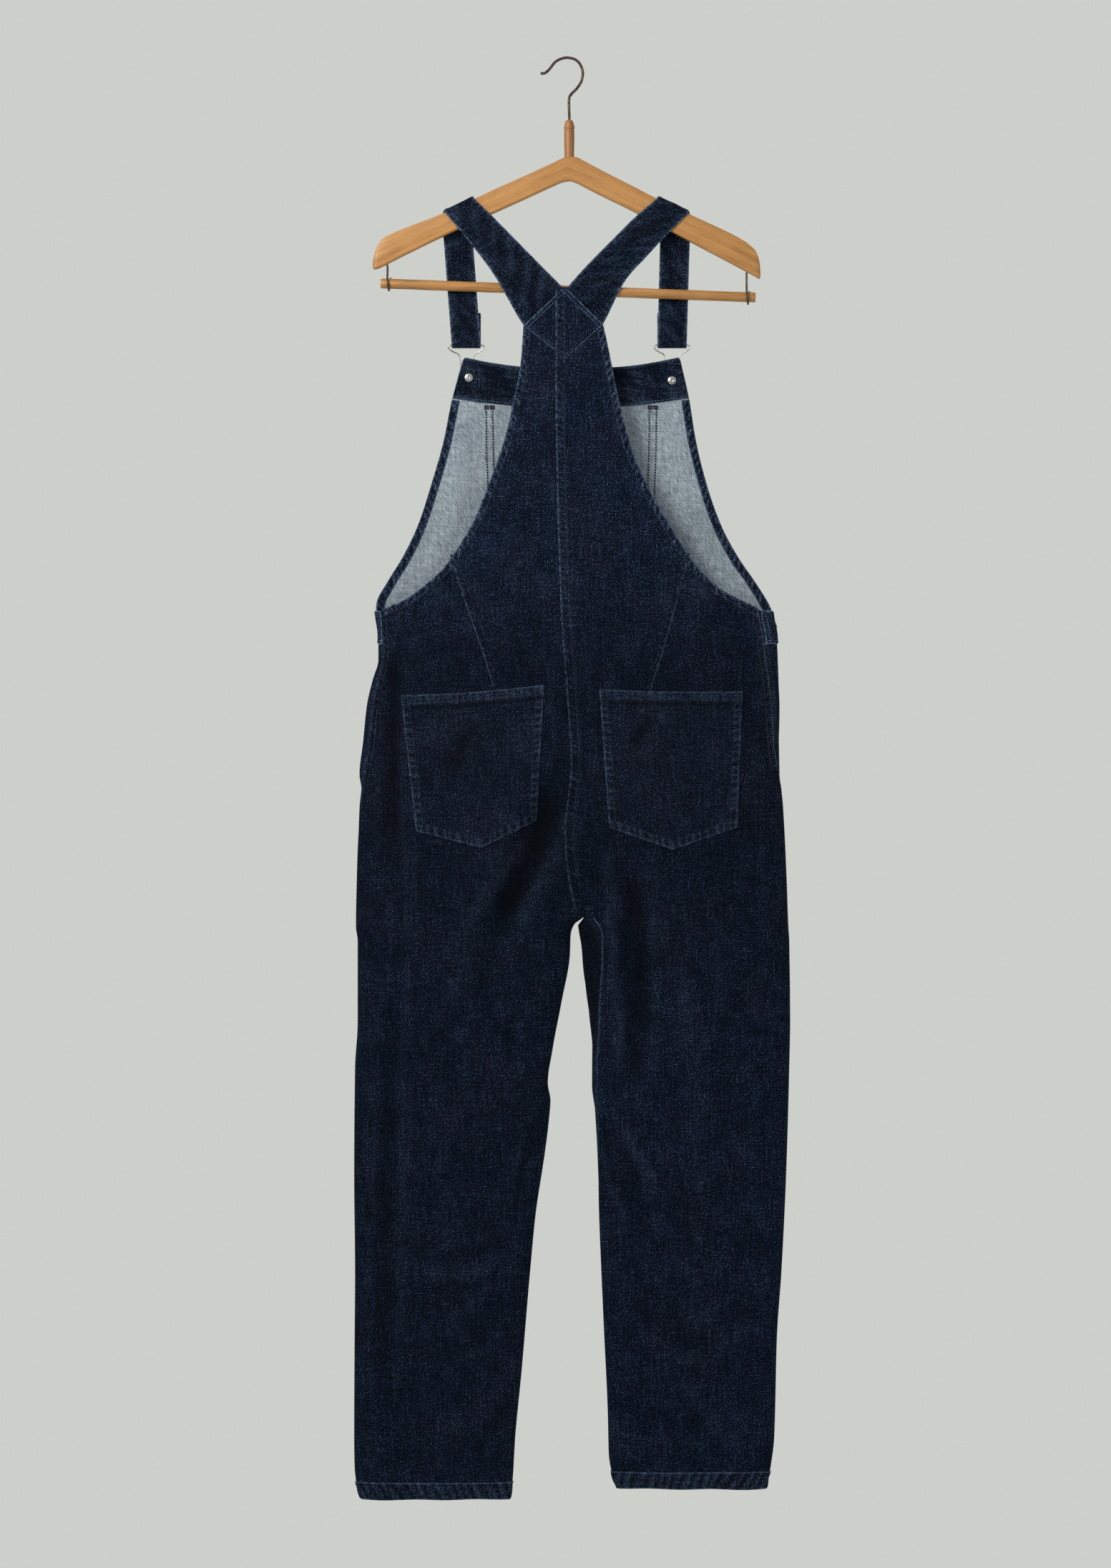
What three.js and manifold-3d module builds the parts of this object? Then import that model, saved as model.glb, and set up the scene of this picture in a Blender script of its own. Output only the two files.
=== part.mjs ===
// Denim dungarees hung by their straps on a wooden trouser hanger.
// Millimetres, +Z up. The garment's back faces -Y and its front faces +Y, with +X to the right as seen
// from behind. The origin is the top of the hook's inside, where it hangs.
import * as THREE from "three";
import { mergeVertices } from "three/addons/utils/BufferGeometryUtils.js";
import Module from "manifold-3d";

const wasm = await Module();
wasm.setup();

// Driving sizes
const CLOTH = 1.4; // wall of one layer of denim
const PATCH = 1.1; // wall of a patch pocket or facing
const GAP = 0.35; // between pieces that touch
const SEAM = 0.2; // taken off each panel at a seam
const MITRE = 0.9; // how far a panel's inner edge is cut back at a seam
const STRAP = 2.0; // a strap is two layers
const RING_POWER = 2.3; // 2 is an ellipse, more is squarer
const WAIST_Z = -626; // foot of the bib and of the back's armholes
const BAND_HEIGHT = 38; // front waistband
const CROTCH_Z = -972;
const RISE_TOP_Z = -875; // where the trunk starts to part into two legs
const HEM_HEIGHT = 20;
const HEM_RAISE = 0.8;
const HEM_Z = { left: -1634, right: -1622 };
const YOKE_TOP_Z = -259.5;
const YOKE_FOOT_Z = -340;
const CELLS_ACROSS = { back: 12, front: 8 }; // cells across one panel
const TURN_CELLS = 0.35; // how far the cells crowd towards a panel's turned edges
const BIB_CELLS_ACROSS = 14;
// Each long panel is parted across, so that each of its lengths is simple by itself: its name and its foot.
const LENGTHS = [
  { name: "bodice", foot: -664 },
  { name: "seat", foot: -872 },
  { name: "fork", foot: -985 },
  { name: "thigh", foot: -1270 },
  { name: "knee", foot: -1450 },
  { name: "shin", foot: -1640 },
];

const HANGER_THICKNESS = 12;
const ARM_BEVEL = 1.6;
const STEM_X = 2.4; // the hook's stem stands this far from the hanging point
const PEG_RADIUS = 6.1;
const BAR_RADIUS = 5.8;
const HOOK_WIRE_RADIUS = 1.6;
const LOOP_WIRE_RADIUS = 1.2;
const CLASP_WIRE_RADIUS = 0.9;
const BUTTON_RADIUS = 8.5;
const RIVET_RADIUS = 4.7;

// The body's rings from the straps to the hems: both outer outlines, how far the cloth stands behind
// and in front of the middle, how far each side seam lies round on the back, and how wide the opening
// beside the right hip gapes.
const BODY = [
  { z: -258, left: -222, right: 226, back: 10.8, front: 9, seamLeft: 7, seamRight: 15, slit: 0 },
  { z: -340, left: -222, right: 226, back: 11.5, front: 12, seamLeft: 7, seamRight: 15, slit: 0 },
  { z: -450, left: -222, right: 227, back: 14, front: 15, seamLeft: 7, seamRight: 15, slit: 0 },
  { z: -560, left: -221, right: 230, back: 18, front: 18, seamLeft: 7, seamRight: 15, slit: 0 },
  { z: -626, left: -218, right: 233, back: 21, front: 20, seamLeft: 7, seamRight: 14, slit: 0 },
  { z: -656, left: -214.5, right: 238, back: 23, front: 21, seamLeft: 5, seamRight: 14, slit: 1 },
  { z: -682, left: -214.5, right: 239, back: 24, front: 22, seamLeft: 6, seamRight: 12, slit: 1.6 },
  { z: -704, left: -221, right: 240, back: 25, front: 23, seamLeft: 7, seamRight: 10, slit: 2.2 },
  { z: -734, left: -228, right: 241, back: 26, front: 24, seamLeft: 8, seamRight: 8, slit: 3 },
  { z: -773, left: -232, right: 240.5, back: 27, front: 24, seamLeft: 8, seamRight: 5, slit: 3.4 },
  { z: -812, left: -236, right: 241, back: 28, front: 25, seamLeft: 6, seamRight: 1, slit: 0 },
  { z: -828, left: -234, right: 243, back: 28, front: 25, seamLeft: 3, seamRight: 0, slit: 0 },
  { z: -849, left: -236, right: 245, back: 28, front: 25, seamLeft: 1, seamRight: 0, slit: 0 },
  { z: -929, left: -239, right: 249, back: 27, front: 24, seamLeft: 0, seamRight: 0, slit: 0 },
  { z: -985, left: -240, right: 251, back: 25, front: 22, seamLeft: 0, seamRight: 0, slit: 0 },
  { z: -1000, left: -238, right: 252, back: 24, front: 21, seamLeft: 0, seamRight: 0, slit: 0 },
  { z: -1093, left: -238, right: 253, back: 21, front: 19, seamLeft: 0, seamRight: 0, slit: 0 },
  { z: -1145, left: -241, right: 252, back: 20, front: 18, seamLeft: 0, seamRight: 0, slit: 0 },
  { z: -1265, left: -242, right: 248.5, back: 18, front: 17, seamLeft: 0, seamRight: 0, slit: 0 },
  { z: -1378, left: -241, right: 243, back: 17, front: 16, seamLeft: 0, seamRight: 0, slit: 0 },
  { z: -1450, left: -241.5, right: 238, back: 16, front: 15, seamLeft: 0, seamRight: 0, slit: 0 },
  { z: -1563, left: -242, right: 235, back: 15, front: 14, seamLeft: 0, seamRight: 0, slit: 0 },
  { z: -1597, left: -241.5, right: 231, back: 14, front: 14, seamLeft: 0, seamRight: 0, slit: 0 },
  { z: -1622, left: -238.5, right: 226, back: 14, front: 14, seamLeft: 0, seamRight: 0, slit: 0 },
  { z: -1634, left: -234, right: 225, back: 14, front: 14, seamLeft: 0, seamRight: 0, slit: 0 },
];

// The legs' inner outlines, and how far each inseam lies round on the back.
const INNER_LEFT = [
  { z: -875, inner: 8, seam: 0 },
  { z: -929, inner: 12, seam: 0 },
  { z: -955, inner: 16, seam: 0 },
  { z: -972, inner: 19.6, seam: 0 },
  { z: -982, inner: 8, seam: -3 },
  { z: -993, inner: 4, seam: -6 },
  { z: -1017, inner: 3, seam: -8 },
  { z: -1073, inner: -7, seam: -10 },
  { z: -1126, inner: -17, seam: -8 },
  { z: -1162, inner: -22, seam: -5 },
  { z: -1182, inner: -19, seam: -3 },
  { z: -1196, inner: -20, seam: -3 },
  { z: -1239, inner: -25, seam: -4 },
  { z: -1312, inner: -36, seam: -5 },
  { z: -1375, inner: -42, seam: -4 },
  { z: -1491, inner: -52, seam: -3 },
  { z: -1564, inner: -59, seam: -2 },
  { z: -1613, inner: -62, seam: 0 },
  { z: -1634, inner: -65, seam: 0 },
];
const INNER_RIGHT = [
  { z: -875, inner: 8, seam: 0 },
  { z: -929, inner: 12, seam: 0 },
  { z: -955, inner: 16, seam: 0 },
  { z: -972, inner: 20.4, seam: 0 },
  { z: -982, inner: 12, seam: 17 },
  { z: -1007, inner: 16, seam: 23 },
  { z: -1033, inner: 18, seam: 22 },
  { z: -1080, inner: 24, seam: 13 },
  { z: -1123, inner: 28, seam: 7 },
  { z: -1166, inner: 28, seam: 5 },
  { z: -1192, inner: 31, seam: 3 },
  { z: -1239, inner: 34, seam: 1 },
  { z: -1312, inner: 36, seam: 0 },
  { z: -1431, inner: 41, seam: 0 },
  { z: -1540, inner: 46, seam: 0 },
  { z: -1583, inner: 47, seam: 0 },
  { z: -1607, inner: 51, seam: 0 },
  { z: -1622, inner: 56, seam: 0 },
];

// The centre seams of the back and of the front trousers.
const CENTRE = [
  { z: -258, back: -3, front: 0 },
  { z: -388, back: -3, front: 0 },
  { z: -462, back: -2, front: 0 },
  { z: -574, back: 1, front: 1 },
  { z: -663, back: 5, front: 2 },
  { z: -713, back: 9, front: 3 },
  { z: -803, back: 14, front: 5 },
  { z: -843, back: 10, front: 7 },
  { z: -876, back: 7, front: 9 },
  { z: -902, back: 8, front: 11 },
  { z: -929, back: 11, front: 13 },
  { z: -955, back: 16, front: 17 },
  { z: -972, back: 20, front: 20 },
];

// The back's armhole edges, from the yoke's point round to the waist.
const ARMHOLE = [
  { z: -259.5, left: -5, right: -1 },
  { z: -302, left: -47.5, right: 39.5 },
  { z: -304, left: -50, right: 41 },
  { z: -310, left: -50.3, right: 42.5 },
  { z: -346, left: -53, right: 50 },
  { z: -384, left: -60, right: 57.5 },
  { z: -435, left: -72, right: 70.5 },
  { z: -488, left: -91, right: 92 },
  { z: -525, left: -106, right: 113.5 },
  { z: -560, left: -127, right: 135 },
  { z: -579, left: -141, right: 149 },
  { z: -599, left: -163, right: 169 },
  { z: -615, left: -186, right: 198 },
  { z: -622, left: -203, right: 213 },
  { z: -626, left: -211, right: 219 },
];

// The bib's side edges, and its dipping top edge.
const BIB = [
  { z: -337, left: -118, right: 128 },
  { z: -384, left: -131, right: 138.5 },
  { z: -433, left: -141, right: 146.5 },
  { z: -486, left: -156, right: 160 },
  { z: -528, left: -170, right: 175 },
  { z: -564, left: -187, right: 194 },
  { z: -592, left: -204, right: 213 },
  { z: -618, left: -217, right: 229 },
  { z: -626, left: -217.5, right: 232.5 },
];
const BIB_TOP_Z = -337;
const BIB_TOP_DIP = 13; // how much lower the middle of the top edge hangs
const BIB_BAND_HEIGHT = 46;
const BIB_SIDE_FACING = 9;

// The largest folds. A trough has a depth below nought, a ridge above it, both measured outwards.
const FOLDS = [
  { face: "back", from: [-186, -650], via: [-206, -760], to: [-200, -1000], width: 11, depth: -4 },
  { face: "back", from: [-200, -960], via: [-203, -1280], to: [-206, -1605], width: 12, depth: -4 },
  { face: "back", from: [-2, -790], via: [-40, -890], to: [-98, -1030], width: 20, depth: -9 },
  { face: "back", from: [-70, -840], via: [-120, -950], to: [-135, -1140], width: 30, depth: 5 },
  { face: "back", from: [40, -880], via: [52, -960], to: [58, -1150], width: 10, depth: 5 },
  { face: "back", from: [62, -900], via: [98, -1020], to: [66, -1200], width: 15, depth: -8 },
  { face: "back", from: [-20, -1190], via: [-48, -1260], to: [-54, -1335], width: 9, depth: -4 },
  { face: "back", from: [33, -1195], via: [60, -1262], to: [92, -1345], width: 12, depth: -4 },
  { face: "back", from: [128, -1000], via: [150, -1150], to: [150, -1330], width: 28, depth: 4 },
  { face: "back", from: [-60, -1390], via: [-110, -1450], to: [-170, -1480], width: 14, depth: -3 },
  { face: "back", from: [60, -1400], via: [120, -1450], to: [190, -1470], width: 15, depth: -3 },
  { face: "front", from: [-200, -700], via: [-206, -950], to: [-200, -1300], width: 12, depth: -4 },
  { face: "front", from: [-5, -800], via: [-50, -930], to: [-100, -1080], width: 18, depth: -7 },
  { face: "front", from: [30, -830], via: [70, -940], to: [120, -1080], width: 18, depth: -7 },
  { face: "front", from: [205, -720], via: [212, -960], to: [208, -1250], width: 12, depth: -4 },
  { face: "front", from: [-30, -1200], via: [-90, -1270], to: [-150, -1310], width: 14, depth: -4 },
  { face: "front", from: [50, -1200], via: [110, -1260], to: [170, -1300], width: 14, depth: -4 },
  { face: "front", from: [-118, -400], via: [-122, -470], to: [-128, -560], width: 16, depth: -2.5 },
];

// The hanger's wooden arms, from the left end to the right: the heights of the top and lower edges.
const ARMS = [
  { x: -221, top: -233, foot: -236.5 },
  { x: -219.5, top: -224, foot: -238.5 },
  { x: -216, top: -213, foot: -238 },
  { x: -208, top: -203, foot: -234.6 },
  { x: -198, top: -198, foot: -229.6 },
  { x: -145, top: -177, foot: -203.4 },
  { x: -85, top: -149.5, foot: -176 },
  { x: -16, top: -118, foot: -144.4 },
  { x: -5, top: -112.8, foot: -139.8 },
  { x: 3, top: -110.9, foot: -138.6 },
  { x: 11, top: -112, foot: -141 },
  { x: 18, top: -115.5, foot: -144.6 },
  { x: 81, top: -148.2, foot: -176.4 },
  { x: 140, top: -177, foot: -207.8 },
  { x: 198, top: -205, foot: -238.4 },
  { x: 207, top: -211.2, foot: -243.2 },
  { x: 214, top: -218.5, foot: -247 },
  { x: 218, top: -229, foot: -249.2 },
  { x: 219.3, top: -242, foot: -247.6 },
];

const BACK_POCKETS = {
  left: [[-188, -722.5], [-127, -719], [-26, -711], [-35, -864], [-97, -895], [-171, -876]],
  right: [[36, -716], [120, -717], [198, -718], [192, -872], [119, -897], [47, -872]],
};
const POCKET_HEM = 12;
const BIB_POCKET = { left: -90, right: 99, top: -398, side: -528, point: -545 };
const BUTTONS = {
  left: { x: -112, z: -361 },
  right: { x: 119, z: -364 },
};

const DENIM = { color: 0x1a2438, roughness: 0.92, metalness: 0 };
const DENIM_INSIDE = { color: 0x848c92, roughness: 0.95, metalness: 0 };
const BEECH = { color: 0xab7a45, roughness: 0.5, metalness: 0 };
const DARK_WIRE = { color: 0x3a322d, roughness: 0.45, metalness: 0.9 };
const NICKEL = { color: 0xb4b2ae, roughness: 0.3, metalness: 1 };

const part = new THREE.Group();

// Adds one named mesh to the part, or to a group inside it.
function add(name, geometry, look, group = part) {
  const mesh = new THREE.Mesh(geometry, new THREE.MeshStandardMaterial(look));
  mesh.name = name;
  group.add(mesh);
  return mesh;
}

// A smooth curve through one column of a table, that never overshoots between two rows.
function track(table, column, key = "z") {
  const rows = [...table].sort((a, b) => a[key] - b[key]);
  const at = rows.map((row) => row[key]);
  const value = rows.map((row) => row[column]);
  const slope = at.slice(1).map((place, i) => (value[i + 1] - value[i]) / (place - at[i]));
  const tangent = value.map((_, i) => {
    if (i === 0) return slope[0];
    if (i === slope.length) return slope[i - 1];
    const product = slope[i - 1] * slope[i];
    return product <= 0 ? 0 : (2 * product) / (slope[i - 1] + slope[i]);
  });
  return (place) => {
    const inside = Math.min(Math.max(place, at[0]), at[at.length - 1]);
    let i = 0;
    while (i < at.length - 2 && inside > at[i + 1]) i++;
    const span = at[i + 1] - at[i];
    const t = (inside - at[i]) / span;
    return (
      value[i] * (1 + 2 * t) * (1 - t) ** 2 +
      value[i + 1] * t * t * (3 - 2 * t) +
      span * (tangent[i] * t * (1 - t) ** 2 - tangent[i + 1] * t * t * (1 - t))
    );
  };
}

const body = Object.fromEntries(
  ["left", "right", "back", "front", "seamLeft", "seamRight", "slit"].map((name) => [name, track(BODY, name)]),
);
const inner = { left: track(INNER_LEFT, "inner"), right: track(INNER_RIGHT, "inner") };
const inseam = { left: track(INNER_LEFT, "seam"), right: track(INNER_RIGHT, "seam") };
const centre = { back: track(CENTRE, "back"), front: track(CENTRE, "front") };
const armhole = { left: track(ARMHOLE, "left"), right: track(ARMHOLE, "right") };
const bibEdge = { left: track(BIB, "left"), right: track(BIB, "right") };

const evenly = (cells) => Array.from({ length: cells + 1 }, (_, i) => i / cells);

const smooth = (t) => {
  const held = Math.min(Math.max(t, 0), 1);
  return held * held * (3 - 2 * held);
};

// A fold's path as a chain of points, on the bow from its start to its end.
function foldPath({ from, via, to }) {
  return evenly(12).map((t) => {
    const bow = 2 * t * (1 - t);
    return [0, 1].map((i) => from[i] * (1 - t) ** 2 + via[i] * bow + to[i] * t * t);
  });
}

const foldPaths = FOLDS.map(foldPath);

// How far the folds move the cloth outwards at one place on one face.
function foldAt(face, x, z) {
  let moved = 0;
  FOLDS.forEach((fold, index) => {
    if (fold.face !== face) return;
    let nearest = Infinity;
    let along = 0;
    const path = foldPaths[index];
    for (let i = 0; i < path.length - 1; i++) {
      const [ax, az] = path[i];
      const [dx, dz] = [path[i + 1][0] - ax, path[i + 1][1] - az];
      const t = THREE.MathUtils.clamp(((x - ax) * dx + (z - az) * dz) / (dx * dx + dz * dz), 0, 1);
      const distance = Math.hypot(x - ax - t * dx, z - az - t * dz);
      if (distance < nearest) [nearest, along] = [distance, (i + t) / (path.length - 1)];
    }
    const ends = smooth(along / 0.3) * smooth((1 - along) / 0.3);
    moved += fold.depth * ends * Math.exp(-((nearest / fold.width) ** 2));
  });
  return moved;
}

const power = (value) => Math.sign(value) * Math.abs(value) ** (2 / RING_POWER);
// The angle on a ring at which the cloth lies a share of the half-width from the ring's middle.
const angleAt = (share) => {
  const held = Math.min(Math.max(share, -1), 1);
  return Math.acos(Math.sign(held) * Math.abs(held) ** (RING_POWER / 2));
};

// A point on a flattened ring, at an angle counted from the outer side and positive over the back.
function ringPoint(ring, side, angle) {
  const x = ring.middle + side * ring.half * power(Math.cos(angle));
  const rise = power(Math.sin(angle));
  return [x, -(rise > 0 ? ring.back : ring.front) * rise];
}

function trunkRing(z) {
  const [left, right] = [body.left(z), body.right(z)];
  return { middle: (left + right) / 2, half: (right - left) / 2, back: body.back(z), front: body.front(z) };
}

function legRing(leg, z) {
  const [outer, inside] = [body[leg](z), inner[leg](z)];
  return {
    middle: (outer + inside) / 2,
    half: Math.abs(outer - inside) / 2,
    back: body.back(z),
    front: body.front(z),
  };
}

const legShare = (z) => smooth((RISE_TOP_Z - z) / (RISE_TOP_Z - CROTCH_Z));

// The angles between which one panel covers the trunk and the leg at one height.
function panelAngles(leg, face, z) {
  const side = leg === "left" ? -1 : 1;
  const turn = face === "back" ? 1 : -1;
  const trunk = trunkRing(z);
  const ring = legRing(leg, z);
  const slit = leg === "right" ? (turn * body.slit(z)) / 2 : 0;
  const seam = (leg === "left" ? body.seamLeft(z) : body.seamRight(z)) + slit;
  const atSeam = angleAt(1 - seam / trunk.half);
  const onArmhole = face === "back" && z > WAIST_Z;
  const start = onArmhole ? angleAt((side * (armhole[leg](z) - trunk.middle)) / trunk.half) : atSeam;
  const round = inseam[leg](z);
  const past = Math.sign(round) * angleAt(1 - Math.abs(round) / ring.half);
  const middleEdge = centre[face](z);
  return {
    trunk: [start, turn * angleAt((side * (middleEdge - trunk.middle)) / trunk.half)],
    leg: [start, turn * Math.PI - past],
  };
}

// A point of one panel's outer face: s runs from the side or armhole to the centre seam or inseam.
function panelPoint(leg, face, s, z) {
  const side = leg === "left" ? -1 : 1;
  const angles = panelAngles(leg, face, z);
  const share = legShare(z);
  const onTrunk = ringPoint(trunkRing(z), side, THREE.MathUtils.lerp(...angles.trunk, s));
  const onLeg = ringPoint(legRing(leg, z), side, THREE.MathUtils.lerp(...angles.leg, s));
  const x = THREE.MathUtils.lerp(onTrunk[0], onLeg[0], share);
  const y = THREE.MathUtils.lerp(onTrunk[1], onLeg[1], share);
  const flatness = Math.min(1, Math.abs(y) / (0.7 * (y < 0 ? body.back(z) : body.front(z))));
  const shown = y < 0 ? "back" : "front";
  const moved = foldAt(shown, x, z) * flatness;
  return new THREE.Vector3(x, y + (y < 0 ? -moved : moved), z);
}

// A point of the bib's or the front waistband's outer face: s runs from the left to the right edge.
function frontPoint(s, z, leftAngle, rightAngle) {
  const ring = trunkRing(z);
  const [x, y] = ringPoint(ring, 1, THREE.MathUtils.lerp(leftAngle, rightAngle, s));
  return new THREE.Vector3(x, y + foldAt("front", x, z) * Math.max(0, y / ring.front), z);
}

function bibPoint(s, drop) {
  const dip = BIB_TOP_DIP * Math.sin(Math.PI * s) * (1 - drop);
  const z = THREE.MathUtils.lerp(BIB_TOP_Z, WAIST_Z + GAP, drop) - dip;
  const ring = trunkRing(z);
  const angle = (x) => -angleAt((x - ring.middle) / ring.half);
  return frontPoint(s, z, angle(bibEdge.left(z)), angle(bibEdge.right(z)));
}

function bandPoint(s, z) {
  const half = trunkRing(z).half;
  const left = angleAt(1 - body.seamLeft(z) / half);
  const right = angleAt(1 - body.seamRight(z) / half);
  return frontPoint(s, z, -Math.PI - left, right);
}

// A grid of outer points and outward directions from a surface function of two numbers.
function gridOf(surface, across, along, outward) {
  const step = 1e-3;
  return along.map((v) =>
    across(v).map((u) => {
      const alongU = surface(u + step, v).sub(surface(u - step, v));
      const alongV = surface(u, v + outward.step).sub(surface(u, v - outward.step));
      return { point: surface(u, v), normal: alongU.cross(alongV).normalize().multiplyScalar(outward.turn) };
    }),
  );
}

// The closed wall between two distances from a grid's points, counted outwards. Its two long edges are
// cut back on the inside by the mitre, so that two panels can meet at a sharp fold.
function wall(grid, near, far, mitre = 0) {
  const [rows, columns] = [grid.length, grid[0].length];
  const positions = [];
  const layer = (distance, cut) =>
    grid.forEach((row, i) =>
      row.forEach(({ point, normal }, j) => {
        const off = typeof distance === "function" ? distance(i, j) : distance;
        const place = point.clone().addScaledVector(normal, off);
        const neighbour = j === 0 ? row[1] : row[columns - 2];
        if (cut && (j === 0 || j === columns - 1)) {
          place.add(neighbour.point.clone().sub(point).setLength(cut));
        }
        positions.push(...place.toArray());
      }),
    );
  layer(far, 0);
  layer(near, mitre);
  const under = rows * columns;
  const at = (i, j) => i * columns + j;
  const faces = [];
  const quad = (a, b, c, d) => faces.push(a, b, c, a, c, d);
  for (let i = 0; i < rows - 1; i++) {
    for (let j = 0; j < columns - 1; j++) {
      quad(at(i, j), at(i, j + 1), at(i + 1, j + 1), at(i + 1, j));
      quad(under + at(i, j), under + at(i + 1, j), under + at(i + 1, j + 1), under + at(i, j + 1));
    }
    const last = columns - 1;
    quad(at(i, 0), at(i + 1, 0), under + at(i + 1, 0), under + at(i, 0));
    quad(at(i + 1, last), at(i, last), under + at(i, last), under + at(i + 1, last));
  }
  for (let j = 0; j < columns - 1; j++) {
    const last = rows - 1;
    quad(at(0, j + 1), at(0, j), under + at(0, j), under + at(0, j + 1));
    quad(at(last, j), at(last, j + 1), under + at(last, j + 1), under + at(last, j));
  }
  return facingOut(positions, faces);
}

// A geometry whose faces point outwards, whichever way its grid ran.
function facingOut(positions, faces) {
  const corner = (index) => new THREE.Vector3().fromArray(positions, 3 * index);
  let volume = 0;
  for (let i = 0; i < faces.length; i += 3) {
    volume += corner(faces[i]).dot(corner(faces[i + 1]).cross(corner(faces[i + 2])));
  }
  if (volume < 0) for (let i = 0; i < faces.length; i += 3) faces.splice(i, 3, faces[i], faces[i + 2], faces[i + 1]);
  const geometry = new THREE.BufferGeometry();
  geometry.setAttribute("position", new THREE.Float32BufferAttribute(positions, 3));
  geometry.setIndex(faces);
  return geometry;
}

function toSolid(geometry) {
  const bare = geometry.clone();
  bare.deleteAttribute("normal");
  bare.deleteAttribute("uv");
  const merged = mergeVertices(bare, 1e-4);
  return new wasm.Manifold(
    new wasm.Mesh({
      numProp: 3,
      vertProperties: new Float32Array(merged.attributes.position.array),
      triVerts: new Uint32Array(merged.index.array),
    }),
  );
}

function toGeometry(solid) {
  const mesh = solid.getMesh();
  const geometry = new THREE.BufferGeometry();
  geometry.setAttribute("position", new THREE.Float32BufferAttribute(mesh.vertProperties, 3));
  geometry.setIndex([...mesh.triVerts]);
  return geometry;
}

// A prism on an outline in X and Z, between two depths in Y.
function prism(outline, fromY, toY) {
  const shape = new THREE.Shape(outline.map(([x, z]) => new THREE.Vector2(x, z)));
  const geometry = new THREE.ExtrudeGeometry(shape, { depth: toY - fromY, bevelEnabled: false });
  return geometry.rotateX(Math.PI / 2).translate(0, toY, 0);
}

// The heights of a panel's rows, from a start through bands of even steps.
function heights(start, bands) {
  const rows = [start];
  for (const { to, steps } of bands) {
    const from = rows[rows.length - 1];
    for (let i = 1; i <= steps; i++) rows.push(from + ((to - from) * i) / steps);
  }
  return rows;
}

function legBands(leg) {
  const foot = HEM_Z[leg];
  return [
    { to: -900, steps: 9 },
    { to: -960, steps: 4 },
    { to: -1002, steps: 6 },
    { to: -1580, steps: 14 },
    { to: foot + HEM_HEIGHT + 0.6, steps: 1 },
    { to: foot + HEM_HEIGHT - 0.6, steps: 1 },
    { to: foot, steps: 1 },
  ];
}

// One of the four long panels, trimmed by the seam at each side.
function panelGrid(leg, face) {
  const side = leg === "left" ? -1 : 1;
  const turn = face === "back" ? 1 : -1;
  const bandFoot = WAIST_Z - BAND_HEIGHT - GAP;
  const bodice = [
    { to: -303, steps: 3 },
    { to: -545, steps: 8 },
    { to: WAIST_Z, steps: 7 },
    { to: bandFoot, steps: 2 },
  ];
  const top = face === "back" ? YOKE_TOP_Z : bandFoot;
  const rows = heights(top, [...(face === "back" ? bodice : []), ...legBands(leg)]);
  const surface = (s, z) => panelPoint(leg, face, s, z);
  const across = (z) => {
    const samples = evenly(48).map((s) => surface(s, z));
    const length = [0];
    samples.slice(1).forEach((p, i) => length.push(length[i] + p.distanceTo(samples[i])));
    const width = length[length.length - 1];
    const placeAt = (distance) => {
      const i = Math.max(1, length.findIndex((l) => l >= distance));
      return (i - 1 + (distance - length[i - 1]) / (length[i] - length[i - 1])) / 48;
    };
    return evenly(CELLS_ACROSS[face]).map((t) => {
      const place = SEAM + t * (width - 2 * SEAM);
      return THREE.MathUtils.lerp(placeAt(place), placeAt(SEAM) + t * (1 - placeAt(SEAM) * 2), TURN_CELLS);
    });
  };
  return gridOf(surface, across, rows, { step: 0.05, turn: -side * turn });
}

// How far a panel's outer face is raised at its turned hem.
function hemRaise(leg, grid) {
  const top = HEM_Z[leg] + HEM_HEIGHT;
  return (i, j) => (grid[i][j].point.z < top ? HEM_RAISE : 0);
}

function addPatch(name, grid, outline, near, far, hem) {
  const slab = toSolid(wall(grid, near, far));
  const depth = 80;
  let solid = slab.intersect(toSolid(prism(outline, -depth, depth)));
  if (hem) {
    const thick = toSolid(wall(grid, near, far + HEM_RAISE));
    solid = solid.add(thick.intersect(toSolid(prism(hem, -depth, depth))));
  }
  add(name, toGeometry(solid), DENIM);
}

// A panel's grid cut into its lengths at the rows nearest their feet, a gap apart.
function lengthsOf(grid) {
  const away = (i, z) => Math.abs(grid[i][0].point.z - z);
  const rowAt = (z) => grid.reduce((best, _, i) => (away(i, z) < away(best, z) ? i : best), 0);
  const lowered = ({ point, normal }) => ({ point: point.clone().setZ(point.z - GAP), normal });
  const lengths = [];
  let head = 0;
  for (const { name, foot } of LENGTHS) {
    const end = rowAt(foot);
    if (end === head) continue;
    const rows = grid.slice(head, end + 1);
    lengths.push({ name, rows: head === 0 ? rows : [rows[0].map(lowered), ...rows.slice(1)] });
    head = end;
  }
  return lengths;
}

function addPanels() {
  const grids = {};
  for (const face of ["back", "front"]) {
    for (const leg of ["left", "right"]) {
      const grid = panelGrid(leg, face);
      grids[`${face}_${leg}`] = grid;
      for (const { name, rows } of lengthsOf(grid)) {
        add(`${face}_${leg}_${name}`, wall(rows, -CLOTH, hemRaise(leg, rows), MITRE), DENIM);
      }
    }
  }
  return grids;
}

function addBackPockets(grids) {
  for (const leg of ["left", "right"]) {
    const outline = BACK_POCKETS[leg];
    const top = outline.slice(0, 3);
    const hem = [...top, ...top.toReversed().map(([x, z]) => [x, z - POCKET_HEM])];
    hem[3][0] -= 0.8;
    hem[5][0] += 0.8;
    addPatch(`back_pocket_${leg}`, grids[`back_${leg}`], outline, GAP, GAP + PATCH, hem);
  }
}

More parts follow.
